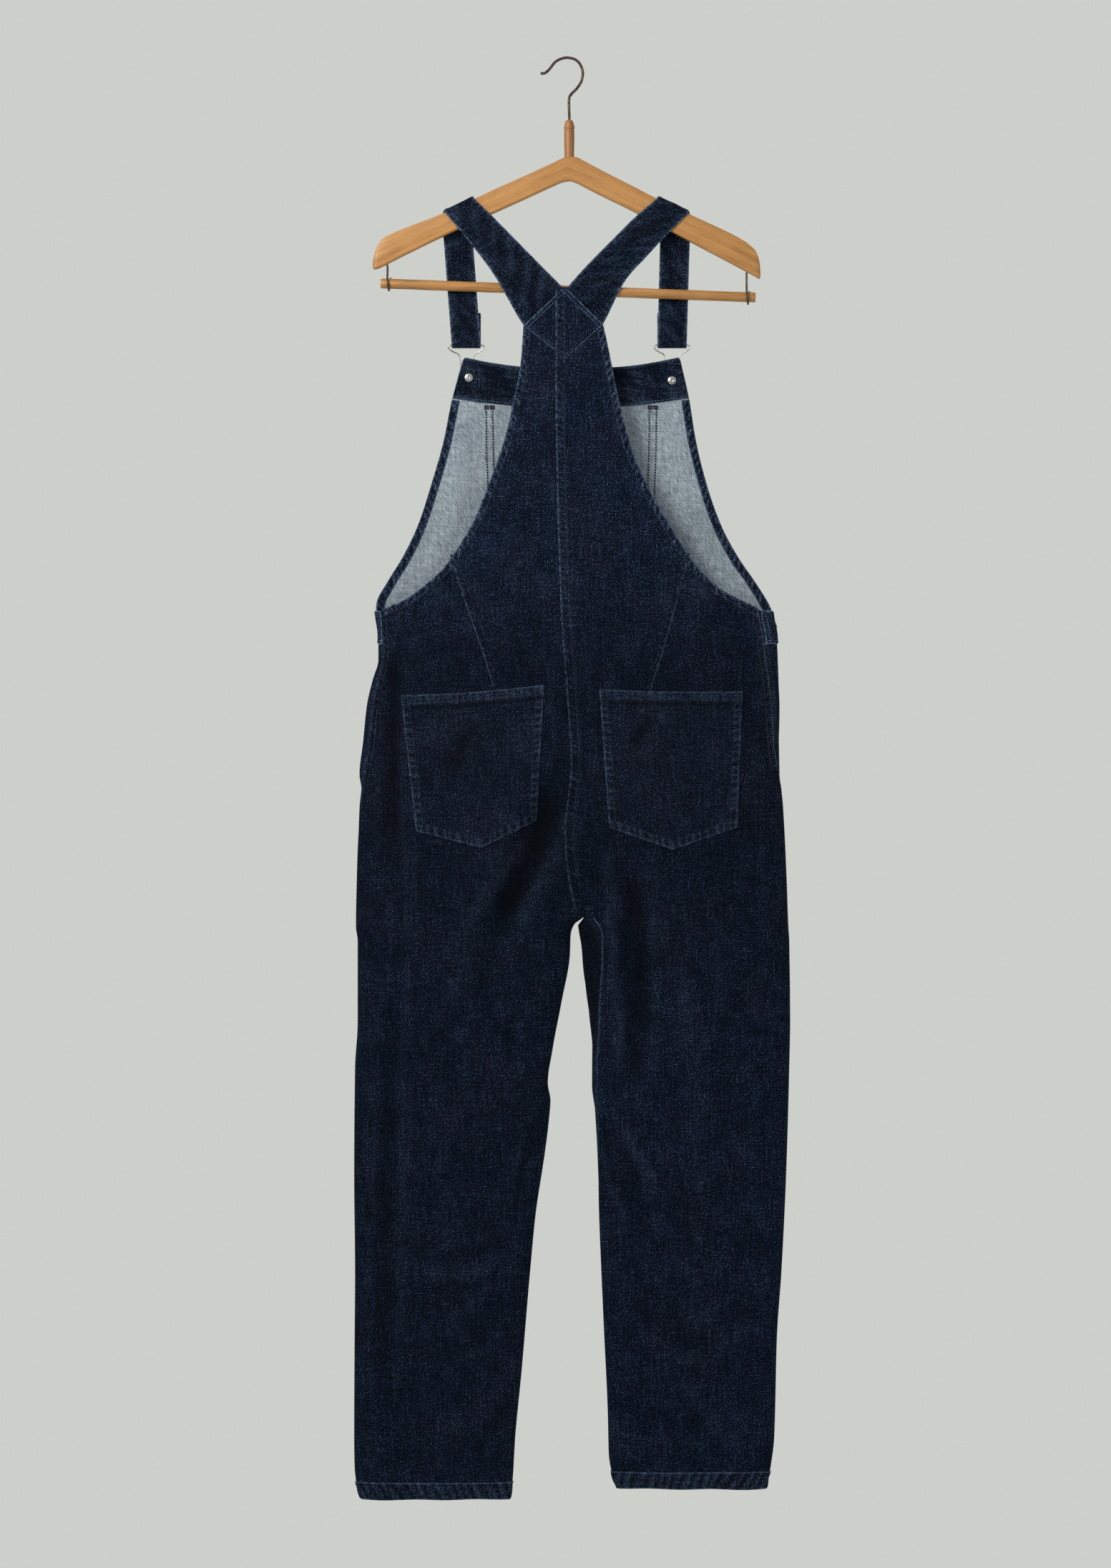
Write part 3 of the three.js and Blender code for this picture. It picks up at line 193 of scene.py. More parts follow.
# The finer creases that each face shows on top of those: path, width, height outwards.
CREASES = {
    Face.BACK: (
        # seat and crotch
        (((28, -810), (6, -836), (-14, -866), (-37, -918), (-66, -960), (-90, -1003), (-97, -1052)), 8, -1.6),
        (((-34, -862), (-56, -902), (-88, -948), (-116, -990)), 8, 2),
        (((12, -880), (27, -922), (45, -958), (64, -996), (62, -1040), (53, -1095), (47, -1160)), 8, -2),
        (((27, -956), (42, -970), (50.5, -1000), (49.5, -1030), (41, -1070), (33, -1114)), 5, 1.6),
        (((-2, -952), (8, -966), (17, -974)), 4, -1.6),
        (((32, -672), (40, -760), (44, -836)), 8, -2),
        (((-22, -672), (-16, -770), (-28, -850)), 9, 1.2),
        # left leg
        (((-197, -700), (-196, -780), (-193, -880), (-190, -960), (-191, -1040), (-192, -1118)), 5, -1.8),
        (((-178, -700), (-176, -800), (-172, -900), (-172, -1010)), 8, 1.4),
        (((-185, -638), (-193, -680), (-201, -724)), 8, -2.2),
        (((-214, -1090), (-211, -1200), (-209, -1280), (-213, -1360), (-210, -1500), (-205, -1592)), 12, -1.6),
        (((-94, -1000), (-93, -1062), (-84, -1104)), 12, -2.6),
        (((-62, -1074), (-66, -1115), (-70, -1154)), 6, -1.8),
        (((-21, -1184), (-36, -1210), (-46, -1240), (-53, -1270), (-61, -1304)), 6, -2.4),
        (((-33, -1222), (-42, -1256), (-49, -1300), (-54, -1345)), 6, 2),
        (((-62, -1180), (-90, -1210)), 9, -2.2),
        (((-178, -1364), (-120, -1358), (-78, -1345), (-56, -1322)), 9, -2.4),
        (((-165, -1384), (-112, -1378), (-70, -1366)), 9, 1.3),
        (((-126, -1472), (-95, -1448), (-70, -1422)), 8, -2.4),
        (((-110, -1590), (-82, -1550), (-58, -1512)), 10, -2.4),
        (((-156, -1104), (-108, -1142)), 13, -1.6),
        (((-150, -1200), (-136, -1290), (-150, -1360)), 18, 1.8),
        (((-180, -1560), (-118, -1536)), 12, -1.3),
        # right leg
        (((32, -1170), (52, -1222), (78, -1272), (93, -1324)), 8, -2),
        (((54, -1192), (82, -1244), (108, -1292)), 9, 1.8),
        (((194, -1316), (195, -1350), (191, -1388)), 5, -1.6),
        (((226, -1410), (165, -1438), (100, -1468)), 14, -2.6),
        (((92, -1474), (140, -1492), (205, -1492)), 10, -1.6),
        (((72, -1556), (112, -1540), (168, -1562)), 12, -1.7),
        (((100, -1000), (112, -1060), (104, -1124)), 14, -1.6),
        (((150, -960), (176, -1040), (166, -1124)), 14, 1.6),
        (((224, -790), (232, -900), (236, -1010)), 8, -1.6),
        (((112, -1296), (160, -1290), (206, -1262)), 12, -1.5),
        (((218, -1090), (224, -1200), (220, -1290)), 9, -1.4),
        # bodice and hips
        (((-146, -586), (-124, -606), (-112, -646)), 6, -1.3),
        (((-158, -602), (-176, -642), (-182, -704)), 9, -1.6),
        (((-206, -634), (-190, -668)), 6, -1.4),
        (((124, -566), (130, -600), (118, -646)), 6, -1.3),
        (((152, -588), (186, -622), (214, -652)), 7, -1.3),
        (((208, -640), (204, -700), (210, -780)), 7, -1.5),
        (((3, -556), (10, -572), (20, -592)), 4, -1),
        (((-70, -560), (-40, -640), (-44, -700)), 22, -1.4),
        (((66, -540), (56, -620), (60, -690)), 22, -1.4),
    ),
    Face.FRONT: (
        # trouser front, bib and bib top
        (((-60, -1160), (-110, -1180), (-160, -1170)), 9, -2),
        (((60, -1160), (120, -1185), (180, -1172)), 9, -2),
        (((-20, -880), (-60, -900), (-110, -890)), 10, -2),
        (((40, -880), (90, -905), (150, -892)), 10, -2),
        (((-180, -1420), (-120, -1440), (-80, -1425)), 11, -2),
        (((80, -1400), (140, -1425), (200, -1410)), 11, -2),
        (((-110, -345), (-108, -372), (-96, -392)), 8, -1.6),
        (((112, -345), (108, -375), (94, -392)), 8, -1.6),
        (((126, -420), (134, -480), (150, -560)), 12, -2),
        (((-160, -520), (-168, -570), (-180, -610)), 10, 1.6),
        (((160, -520), (176, -570), (190, -612)), 10, 1.4),
    ),
}
# How much darker than the bodice the cloth is painted, by z.
HEIGHT_DARKENING = ((-570, 0.02), (-700, 0.42), (-930, 0.38), (-1080, 0.2), (-1640, 0.16))
FRONT_DARKENING = 0.1
DARTS = {
    Side.LEFT: ((-127, -562), (-114, -604), (-93, -664), (-78, -711)),
    Side.RIGHT: ((133, -560), (119, -612), (105, -663), (89, -716)),
}
# The yoke's corners: its top, its outer corner and its lower end on the centre seam.
YOKE = {
    Side.LEFT: ((-3.4, -259.8), (-49.2, -303.2), (-3, -339.5)),
    Side.RIGHT: ((-2.6, -259.8), (40.2, -301.6), (-1, -339.5)),
}
# The turned edges of the side openings and of the right inseam.
OPENING_EDGES = {
    Side.LEFT: (
        (-213, -629), (-210, -656), (-209.3, -682), (-214.4, -704), (-220.4, -734), (-224.6, -773), (-230.4, -812),
    ),
    Side.RIGHT: ((217.5, -630), (222.6, -656), (226, -682), (229, -704), (232.2, -734), (234.6, -773), (239, -806)),
}
INSEAM_EDGE = ((30, -975), (39, -990), (39.5, -1022), (37, -1064), (34.5, -1120), (33, -1150))
POCKETS = {
    Side.LEFT: ((-188, -722.5), (-127, -719), (-26, -711), (-35, -864), (-97, -895), (-171, -876)),
    Side.RIGHT: ((36, -716), (120, -717), (198, -718), (192, -872), (119, -897), (47, -872)),
}
# The bib pocket's rows that come through to the bib's inside.
BIB_POCKET_ROWS = (
    (
        (-92.5, -393), (-92, -440), (-90, -500), (-88, -526), (3.5, -542),
        (97, -527), (99, -500), (101, -440), (101.5, -393),
    ),
    ((-85, -393), (-84.5, -440), (-82, -518), (3.5, -534), (91, -519), (93, -440), (93.5, -393)),
    ((-34, -390), (-33, -526)),
)
# Small creases in each back pocket: path, width, height outwards.
POCKET_CREASES = {
    Side.LEFT: (
        (((-104, -742), (-124, -790), (-142, -850)), 11, -1.5),
        (((-150, -740), (-122, -733), (-96, -738)), 4, -1),
        (((-60, -760), (-52, -800)), 9, 0.8),
    ),
    Side.RIGHT: (
        (((104, -732), (86, -760), (70, -790)), 7, -1.5),
        (((66, -730), (80, -735), (100, -731)), 3.5, -1),
        (((108, -828), (140, -836), (176, -836)), 5, -0.9),
        (((60, -806), (66, -840)), 7, 0.8),
    ),
}
BUTTONS = {Side.LEFT: (-112.0, -361.0), Side.RIGHT: (119.0, -364.0)}
# x, the top edge's height, the lower edge's height.
ARMS = (
    (-221, -233, -236.5), (-219.5, -224, -238.5), (-216, -213, -238), (-208, -203, -234.6),
    (-198, -198, -229.6), (-145, -177, -203.4), (-85, -149.5, -176), (-16, -118, -144.4),
    (-5, -112.8, -139.8), (3, -110.9, -138.6), (11, -112, -141), (18, -115.5, -144.6),
    (81, -148.2, -176.4), (140, -177, -207.8), (198, -205, -238.4), (207, -211.2, -243.2),
    (214, -218.5, -247), (218, -229, -249.2), (219.3, -242, -247.6),
)
# The straps' edges on the back, from under the yoke to the hanger: inner x, z and outer x, z.
STRAP_BACK = {
    Side.LEFT: (
        (-4.6, -290, -4.6, -338), (-4.6, -264, -28, -325), (-6.5, -258.8, -49.6, -303),
        (-30.3, -234.6, -78, -254), (-56, -208.4, -95, -229), (-84, -180, -120, -197.5),
    ),
    Side.RIGHT: (
        (-1.4, -290, -1.4, -338), (-1.4, -264, 22, -325), (0.5, -259.2, 40.8, -301),
        (24.3, -232.7, 64.6, -254), (50, -206.8, 89, -226), (78, -179, 113, -200),
    ),
}
# Where each strap's edges meet the arm behind and in front, and where they end: inner, outer for each.
STRAP_FRONT = {
    Side.LEFT: ((-104.5, -138), (-110.3, -142.5), (-98.4, -131.5)),
    Side.RIGHT: ((100.7, 135.8), (106.5, 140), (102.5, 135.8)),
}


def smooth(t: Array) -> Array:
    """Ease from nought to one."""
    held = np.clip(t, 0, 1)
    return held * held * (3 - 2 * held)


def wave(seed: int, length: float, *places: Array, parts: int = 5) -> Array:
    """Uneven waves that are the same on each run.

    Args:
        seed: picks the pattern.
        length: the usual distance between crests.
        places: the coordinates that it varies with.
        parts: how many sine waves it is the sum of.

    Returns:
        Heights, mostly between minus one and one.
    """
    rng = np.random.default_rng(seed)
    total = np.zeros(np.broadcast_shapes(*(np.shape(p) for p in places)))
    for _ in range(parts):
        way = rng.normal(size=len(places))
        way /= np.linalg.norm(way)
        phase = rng.uniform(0, 2 * math.pi)
        size = length * rng.uniform(0.65, 1.6)
        total += np.sin(2 * math.pi / size * sum(w * p for w, p in zip(way, places)) + phase)
    return total / math.sqrt(parts)


def rounded(path: Sequence[Point], spacing: float) -> Array:
    """Draw a smooth path through points.

    Args:
        path: the points, each of any number of coordinates.
        spacing: the distance between the samples that come back.

    Returns:
        Samples at even spacing, one row each.
    """
    points = np.asarray(path, float)
    if len(points) > 2:
        ends = np.vstack([2 * points[0] - points[1], points, 2 * points[-1] - points[-2]])
        t = np.linspace(0, 1, 17)[:-1, None]
        bows = []
        for a, b, c, d in zip(ends, ends[1:], ends[2:], ends[3:]):
            second, third = 2 * a - 5 * b + 4 * c - d, 3 * b - a - 3 * c + d
            bows.append(0.5 * (2 * b + (c - a) * t + second * t**2 + third * t**3))
        points = np.vstack([*bows, points[-1:]])
    gone = run_along(points)
    count = max(2, int(round(gone[-1] / spacing)) + 1)
    at = np.linspace(0, gone[-1], count)
    return np.stack([np.interp(at, gone, column) for column in points.T], axis=1)


def beside(path: Array, distance: float) -> Array:
    """Shift a path in X and Z to its left-hand side, with its corners kept sharp.

    Args:
        path: the path's points.
        distance: how far it is shifted.

    Returns:
        The new points.
    """
    way = np.diff(path, axis=0)
    way /= np.linalg.norm(way, axis=1, keepdims=True)
    across = np.stack([-way[:, 1], way[:, 0]], axis=1)
    mean = np.vstack([across[:1], across]) + np.vstack([across, across[-1:]])
    return path + distance * 2 * mean / np.sum(mean**2, axis=1, keepdims=True)


def run_along(points: Array) -> Array:
    """Measure how far along a path each of its points lies."""
    return np.concatenate([[0], np.cumsum(np.linalg.norm(np.diff(points, axis=0), axis=1))])


def puckers(run: Array, pitch: float, phase: Array | float) -> Array:
    """Draw even crests along a run, shifted by a phase."""
    return np.sin(2 * math.pi * run / pitch + phase)


class Track:
    """A smooth curve through rows of a place and a value, that never overshoots between two rows."""

    def __init__(self, places: Sequence[float], values: Sequence[float]) -> None:
        """Sort the rows and work out the curve's slope at each.

        Args:
            places: where the rows lie.
            values: what the curve is there.
        """
        order = np.argsort(places)
        self.at = np.asarray(places, float)[order]
        self.value = np.asarray(values, float)[order]
        slope = np.diff(self.value) / np.diff(self.at)
        product, total = slope[:-1] * slope[1:], slope[:-1] + slope[1:]
        middle = np.where(product <= 0, 0, 2 * product / np.where(total == 0, 1, total))
        self.tangent = np.concatenate([slope[:1], middle, slope[-1:]])

    def __call__(self, place: Array) -> Array:
        """Read the curve.

        Args:
            place: one or many places.

        Returns:
            A value for each place.
        """
        held = np.clip(place, self.at[0], self.at[-1])
        i = np.clip(np.searchsorted(self.at, held) - 1, 0, len(self.at) - 2)
        span = self.at[i + 1] - self.at[i]
        t = (held - self.at[i]) / span
        ends = self.value[i] * (1 + 2 * t) * (1 - t) ** 2 + self.value[i + 1] * t * t * (3 - 2 * t)
        return ends + span * (self.tangent[i] * t * (1 - t) ** 2 - self.tangent[i + 1] * t * t * (1 - t))


@dataclass(frozen=True)
class Fold:
    """A trough or a ridge of the cloth along a path, with soft sides and faded ends."""

    path: Array
    width: float
    height: float

    @classmethod
    def bowed(cls, start: Point, via: Point, end: Point, width: float, height: float) -> "Fold":
        """Lay a fold on a bow.

        Args:
            start: where it starts.
            via: the point towards which it leaves.
            end: where it ends.
            width: how far its sides reach.
            height: how far it stands out.

        Returns:
            The fold.
        """
        t = np.linspace(0, 1, 13)[:, None]
        a, b, c = (np.asarray(p, float) for p in (start, via, end))
        return cls(a * (1 - t) ** 2 + 2 * b * t * (1 - t) + c * t * t, width, height)

    @classmethod
    def through(cls, path: Sequence[Point], width: float, height: float) -> "Fold":
        """Lay a fold on the smooth path through some points."""
        return cls(rounded(path, 9), width, height)

    def moved(self, x: Array, z: Array) -> Array:
        """Say how far this fold moves the cloth outwards.

        Args:
            x: places across.
            z: heights.

        Returns:
            A distance for each place.
        """
        low, high = self.path.min(axis=0) - 3 * self.width, self.path.max(axis=0) + 3 * self.width
        near = (x > low[0]) & (x < high[0]) & (z > low[1]) & (z < high[1])
        out = np.zeros(np.shape(x))
        px, pz = x[near], z[near]
        nearest, along = np.full(px.shape, np.inf), np.zeros(px.shape)
        last = len(self.path) - 1
        for i in range(last):
            (ax, az), (dx, dz) = self.path[i], self.path[i + 1] - self.path[i]
            t = np.clip(((px - ax) * dx + (pz - az) * dz) / (dx * dx + dz * dz), 0, 1)
            distance = np.hypot(px - ax - t * dx, pz - az - t * dz)
            closer = distance < nearest
            nearest = np.where(closer, distance, nearest)
            along = np.where(closer, (i + t) / last, along)
        ends = smooth(along / 0.3) * smooth((1 - along) / 0.3)
        out[near] = self.height * ends * np.exp(-((nearest / self.width) ** 2))
        return out


class Ring(NamedTuple):
    """A level line round the garment: its middle and half-width, and its depths behind and in front."""

    middle: Array
    half: Array
    back: Array
    front: Array


def eased(value: Array) -> Array:
    """Raise a cosine or a sine to the ring's power, with its sign kept."""
    return np.sign(value) * np.abs(value) ** (2 / RING_POWER)


def angle_at(share: Array) -> Array:
    """Find the angle at which a ring reaches a share of its half-width."""
    held = np.clip(share, -1, 1)
    return np.arccos(np.sign(held) * np.abs(held) ** (RING_POWER / 2))


class GarmentForm:
    """Where the outer face of the body's cloth lies: the frame's rings and folds, with the fine creases."""

    def __init__(self) -> None:
        """Make a curve of each column, and the folds of each face."""
        names = ("left", "right", "back", "front", "seam_left", "seam_right", "slit")
        columns = list(zip(*BODY))
        self.body = {name: Track(columns[0], column) for name, column in zip(names, columns[1:])}
        self.inner = {side: Track(*list(zip(*rows))[:2]) for side, rows in INNER.items()}
        self.inseam = {side: Track([r[0] for r in rows], [r[2] for r in rows]) for side, rows in INNER.items()}
        heights = [row[0] for row in CENTRE]
        self.centre = {face: Track(heights, [r[k] for r in CENTRE]) for k, face in enumerate(Face, 1)}
        self.armhole = self.edge_pair(ARMHOLE)
        self.bib_edge = self.edge_pair(BIB_EDGES)
        self.folds = {}
        for face in Face:
            self.folds[face] = [Fold.bowed(*row) for row in FRAME_FOLDS[face]]
            self.folds[face] += [Fold.through(*row) for row in CREASES[face]]

    @staticmethod
    def edge_pair(rows: Sequence[tuple[float, float, float]]) -> dict[Side, Track]:
        """Make a curve of each side's edge from rows of a height and two places."""
        heights, left, right = zip(*rows)
        return {Side.LEFT: Track(heights, left), Side.RIGHT: Track(heights, right)}

    def trunk(self, z: Array) -> Ring:
        """Give the trunk's ring at some heights."""
        left, right = self.body["left"](z), self.body["right"](z)
        return Ring((left + right) / 2, (right - left) / 2, self.body["back"](z), self.body["front"](z))

    def leg(self, side: Side, z: Array) -> Ring:
        """Give one leg's ring at some heights."""
        outer, inside = self.body[side.value](z), self.inner[side](z)
        return Ring((outer + inside) / 2, np.abs(outer - inside) / 2, self.body["back"](z), self.body["front"](z))

    @staticmethod
    def on_ring(ring: Ring, sign: int, angle: Array) -> tuple[Array, Array]:
        """Find a ring's point at an angle from its outer side, positive over the back."""
        rise = eased(np.sin(angle))
        return ring.middle + sign * ring.half * eased(np.cos(angle)), -np.where(rise > 0, ring.back, ring.front) * rise

    def bare(self, side: Side, face: Face, s: Array, z: Array) -> tuple[Array, Array]:
        """Find a panel's place before any fold moves it.

        Args:
            side: the panel's half.
            face: the panel's face.
            s: nought at the side or armhole and one at the centre seam or inseam.
            z: the height.

        Returns:
            X and Y of each place.
        """
        trunk, leg = self.trunk(z), self.leg(side, z)
        slit = face.turn * self.body["slit"](z) / 2 if side is Side.RIGHT else 0
        start = angle_at(1 - (self.body[f"seam_{side.value}"](z) + slit) / trunk.half)
        if face is Face.BACK:
            on_edge = angle_at(side.sign * (self.armhole[side](z) - trunk.middle) / trunk.half)
            start = np.where(z > WAIST_Z, on_edge, start)
        round_by = self.inseam[side](z)
        past = np.sign(round_by) * angle_at(1 - np.abs(round_by) / leg.half)
        middle = face.turn * angle_at(side.sign * (self.centre[face](z) - trunk.middle) / trunk.half)
        share = smooth((RISE_TOP_Z - z) / (RISE_TOP_Z - CROTCH_Z))
        trunk_x, trunk_y = self.on_ring(trunk, side.sign, start + (middle - start) * s)
        leg_x, leg_y = self.on_ring(leg, side.sign, start + (face.turn * math.pi - past - start) * s)
        return trunk_x + (leg_x - trunk_x) * share, trunk_y + (leg_y - trunk_y) * share

    @staticmethod
    def yoke(x: Array, z: Array) -> Array:
        """Raise the yoke a little where the straps' ends lie under it.

        Args:
            x: places across.
            z: heights.

        Returns:
            A distance for each place.
        """
        left = (x + 50) * 36 / 60 + (z + 304) * 48 / 60
        right = -(x - 41) * 38 / 57 + (z + 302) * 43 / 57
        return 1.1 * smooth(np.minimum(left, right) / 4 + 0.5) * (z < -262)

    def relief(self, face: Face, x: Array, z: Array) -> Array:
        """Add up how far folds, creases and unevenness move one face outwards.

        Args:
            face: the back or the front of the body.
            x: places across.
            z: heights.

        Returns:
            A distance for each place.
        """
        x, z = (np.array(v, float) for v in np.broadcast_arrays(x, z))
        total = sum(fold.moved(x, z) for fold in self.folds[face])
        seed = 11 if face is Face.BACK else 23
        total = total + 0.7 * wave(seed, 95, x, z, parts=7) + 0.22 * wave(seed + 1, 34, x, z * 0.8, parts=9)
        total = total + 0.10 * wave(seed + 2, 15, x * 0.7, z, parts=9)
        return total + self.yoke(x, z) if face is Face.BACK else total

    def folded(self, x: Array, y: Array, z: Array) -> Array:
        """Move bare places by the folds of the face that they lie on, less towards the turned edges.

        Args:
            x: places across.
            y: depths, less than nought behind.
            z: heights.

        Returns:
            The new places.
        """
        x, y, z = np.broadcast_arrays(x, y, z)
        behind = y < 0
        depth = np.where(behind, self.body["back"](z), self.body["front"](z))
        flatness = np.minimum(1, np.abs(y) / (0.7 * depth))
        moved = np.empty(x.shape)
        moved[behind] = -self.relief(Face.BACK, x[behind], z[behind])
        moved[~behind] = self.relief(Face.FRONT, x[~behind], z[~behind])
        return np.stack([x, y + moved * flatness, z], axis=-1)

    def depth_at(self, face: Face, x: Array, z: Array) -> Array:
        """Find Y of one bare face by its X and Z.

        Args:
            face: the back or the front of the body.
            x: places across.
            z: heights.

        Returns:
            A depth for each place.
        """
        x, z = (np.array(v, float) for v in np.broadcast_arrays(x, z))
        trunk = self.trunk(z)
        share = np.clip(np.abs((x - trunk.middle) / trunk.half), 0, 0.9999)
        deep = trunk.back if face is Face.BACK else trunk.front
        y = -face.turn * deep * (1 - share**RING_POWER) ** (1 / RING_POWER)
        between_legs = (self.inner[Side.LEFT](z) + self.inner[Side.RIGHT](z)) / 2
        split = np.where(z > CROTCH_Z, self.centre[face](z), between_legs)
        s = np.linspace(0, 1, 161)[None, :]
        for side in Side:
            mine = (z < RISE_TOP_Z) & ((x < split) == (side is Side.LEFT))
            if not mine.any():
                continue
            px, py = self.bare(side, face, s, z[mine][:, None])
            key = np.maximum.accumulate(-side.sign * px, axis=1)
            wanted = -side.sign * x[mine]
            y[mine] = [np.interp(w, k, v) for w, k, v in zip(wanted, key, py)]
        return y

    def on_face(self, face: Face, x: Array, z: Array) -> tuple[Array, Array]:
        """Find the outer face by X and Z.

        Args:
            face: the back or the front of the body.
            x: places across.
            z: heights.

        Returns:
            The points, and their outward directions.
        """
        x, z = (np.array(v, float) for v in np.broadcast_arrays(x, z))
        step = 0.8

        def level(dx: float, dz: float) -> Array:
            """Find Y of the places that lie a step away."""
            return self.folded(x + dx, self.depth_at(face, x + dx, z + dz), z + dz)[..., 1]

        slope_x = (level(step, 0) - level(-step, 0)) / (2 * step)
        slope_z = (level(0, step) - level(0, -step)) / (2 * step)
        normal = -face.turn * np.stack([-slope_x, np.ones(x.shape), -slope_z], axis=-1)
        normal /= np.linalg.norm(normal, axis=-1, keepdims=True)
        return np.stack([x, level(0, 0), z], axis=-1), normal

    def on_back(self, x: Array, z: Array) -> tuple[Array, Array]:
        """Find the back's outer face by X and Z."""
        return self.on_face(Face.BACK, x, z)

    def on_front(self, x: Array, z: Array) -> tuple[Array, Array]:
        """Find the front's outer face, the bib's too, by X and Z."""
        return self.on_face(Face.FRONT, x, z)

    def inside_bib(self, x: Array, z: Array) -> tuple[Array, Array]:
        """Find the bib's inner face by X and Z, with directions out of the cloth."""
        points, normals = self.on_front(x, z)
        return points - normals * CLOTH, -normals


@dataclass
class Cloth:
    """A grid of places on cloth, their outward directions and where they lie in the flat cut."""

    points: Array
    normals: Array
    flat: Array

    @classmethod
    def laid(cls, points: Array, inside: Array, plumb_x: Optional[float] = None) -> "Cloth":
        """Work out directions and flat places for a grid.

        Args:
            points: rows and columns of places.
            inside: a place that the cloth faces away from, for each point or for all.
            plumb_x: the X at which the warp hangs straight, or none where it follows the grid.

        Returns:
            The cloth.
        """
        down, across = np.gradient(points, axis=0), np.gradient(points, axis=1)
        normals = np.cross(down, across)
        normals /= np.linalg.norm(normals, axis=-1, keepdims=True) + 1e-12
        if np.sum(normals * (points - inside)) < 0:
            normals = -normals
        steps = np.linalg.norm(np.diff(points, axis=1), axis=-1)
        run = np.concatenate([np.zeros((len(points), 1)), np.cumsum(steps, axis=1)], axis=1)
        falls = np.linalg.norm(np.diff(points, axis=0), axis=-1).mean(axis=1)
        drop = np.concatenate([[0], np.cumsum(falls)])[:, None] + np.zeros(run.shape)
        if plumb_x is not None:
            rows = np.arange(len(points))
            pick = np.argmin(np.abs(points[..., 0] - plumb_x), axis=1)
            way = np.sign(points[rows, -1, 0] - points[rows, 0, 0])[:, None]
            run = way * (run - run[rows, pick][:, None]) + points[rows, pick, 0][:, None]
            drop = points[..., 2]
        return cls(points, normals, np.stack([run, drop], axis=-1))

    def area(self) -> float:
        """Measure the grid in square metres."""
        p = self.points * MM
        return float(np.linalg.norm(np.cross(p[1:, :-1] - p[:-1, :-1], p[:-1, 1:] - p[:-1, :-1]), axis=-1).sum())


def make_piece(
    name: str,
    points: Array,
    faces: Sequence[Sequence[int]],
    finishes: Sequence[Material],
    flat: Optional[Array] = None,
    values: Optional[dict[str, Array]] = None,
    slots: Optional[Array] = None,
    crisp: float = 55,
) -> Object:
    """Make one mesh object at the origin.

    Args:
        name: the piece's name.
        points: its corners in millimetres.
        faces: the corners of each face.
        finishes: its materials.
        flat: each corner's place in the flat cut, in millimetres.
        values: named numbers for each corner, which the materials read.
        slots: which material each face has.
        crisp: the angle in degrees past which an edge stays sharp.

    Returns:
        The object.
    """
    mesh = bpy.data.meshes.new(name)
    mesh.from_pydata((points * MM).tolist(), [], faces if isinstance(faces, list) else faces.tolist())
    if flat is not None:
        corner = np.empty(len(mesh.loops), dtype=np.int32)
        mesh.loops.foreach_get("vertex_index", corner)
        mesh.uv_layers.new(name="cut").data.foreach_set("uv", (flat[corner] * MM).ravel())
    for key, numbers in (values or {}).items():
        flat = np.ascontiguousarray(numbers, np.float32).ravel()
        mesh.attributes.new(key, "FLOAT", "POINT").data.foreach_set("value", flat)
    for finish in finishes:
        mesh.materials.append(finish)
    if slots is not None:
        mesh.polygons.foreach_set("material_index", slots.astype(np.int32))
    mesh.shade_smooth()
    mesh.set_sharp_from_angle(angle=math.radians(crisp))
    mesh.validate()
    piece = bpy.data.objects.new(name, mesh)
    bpy.context.scene.collection.objects.link(piece)
    return piece


def settle(piece: Object, slot: str, *nodes: str) -> Object:
    """Tie a finished piece to the body and report it.

    Args:
        piece: the piece.
        slot: its material slot's name; not used.
        nodes: the frame's nodes that it stands for.

    Returns:
        The piece.
    """
    if nodes:
        piece.name = f"{piece.name.split('.')[0]}_dressed"
        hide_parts(*nodes)
    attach(piece, "root")
    LOG.info("%s: %d faces", piece.name, len(piece.data.polygons))
    return piece


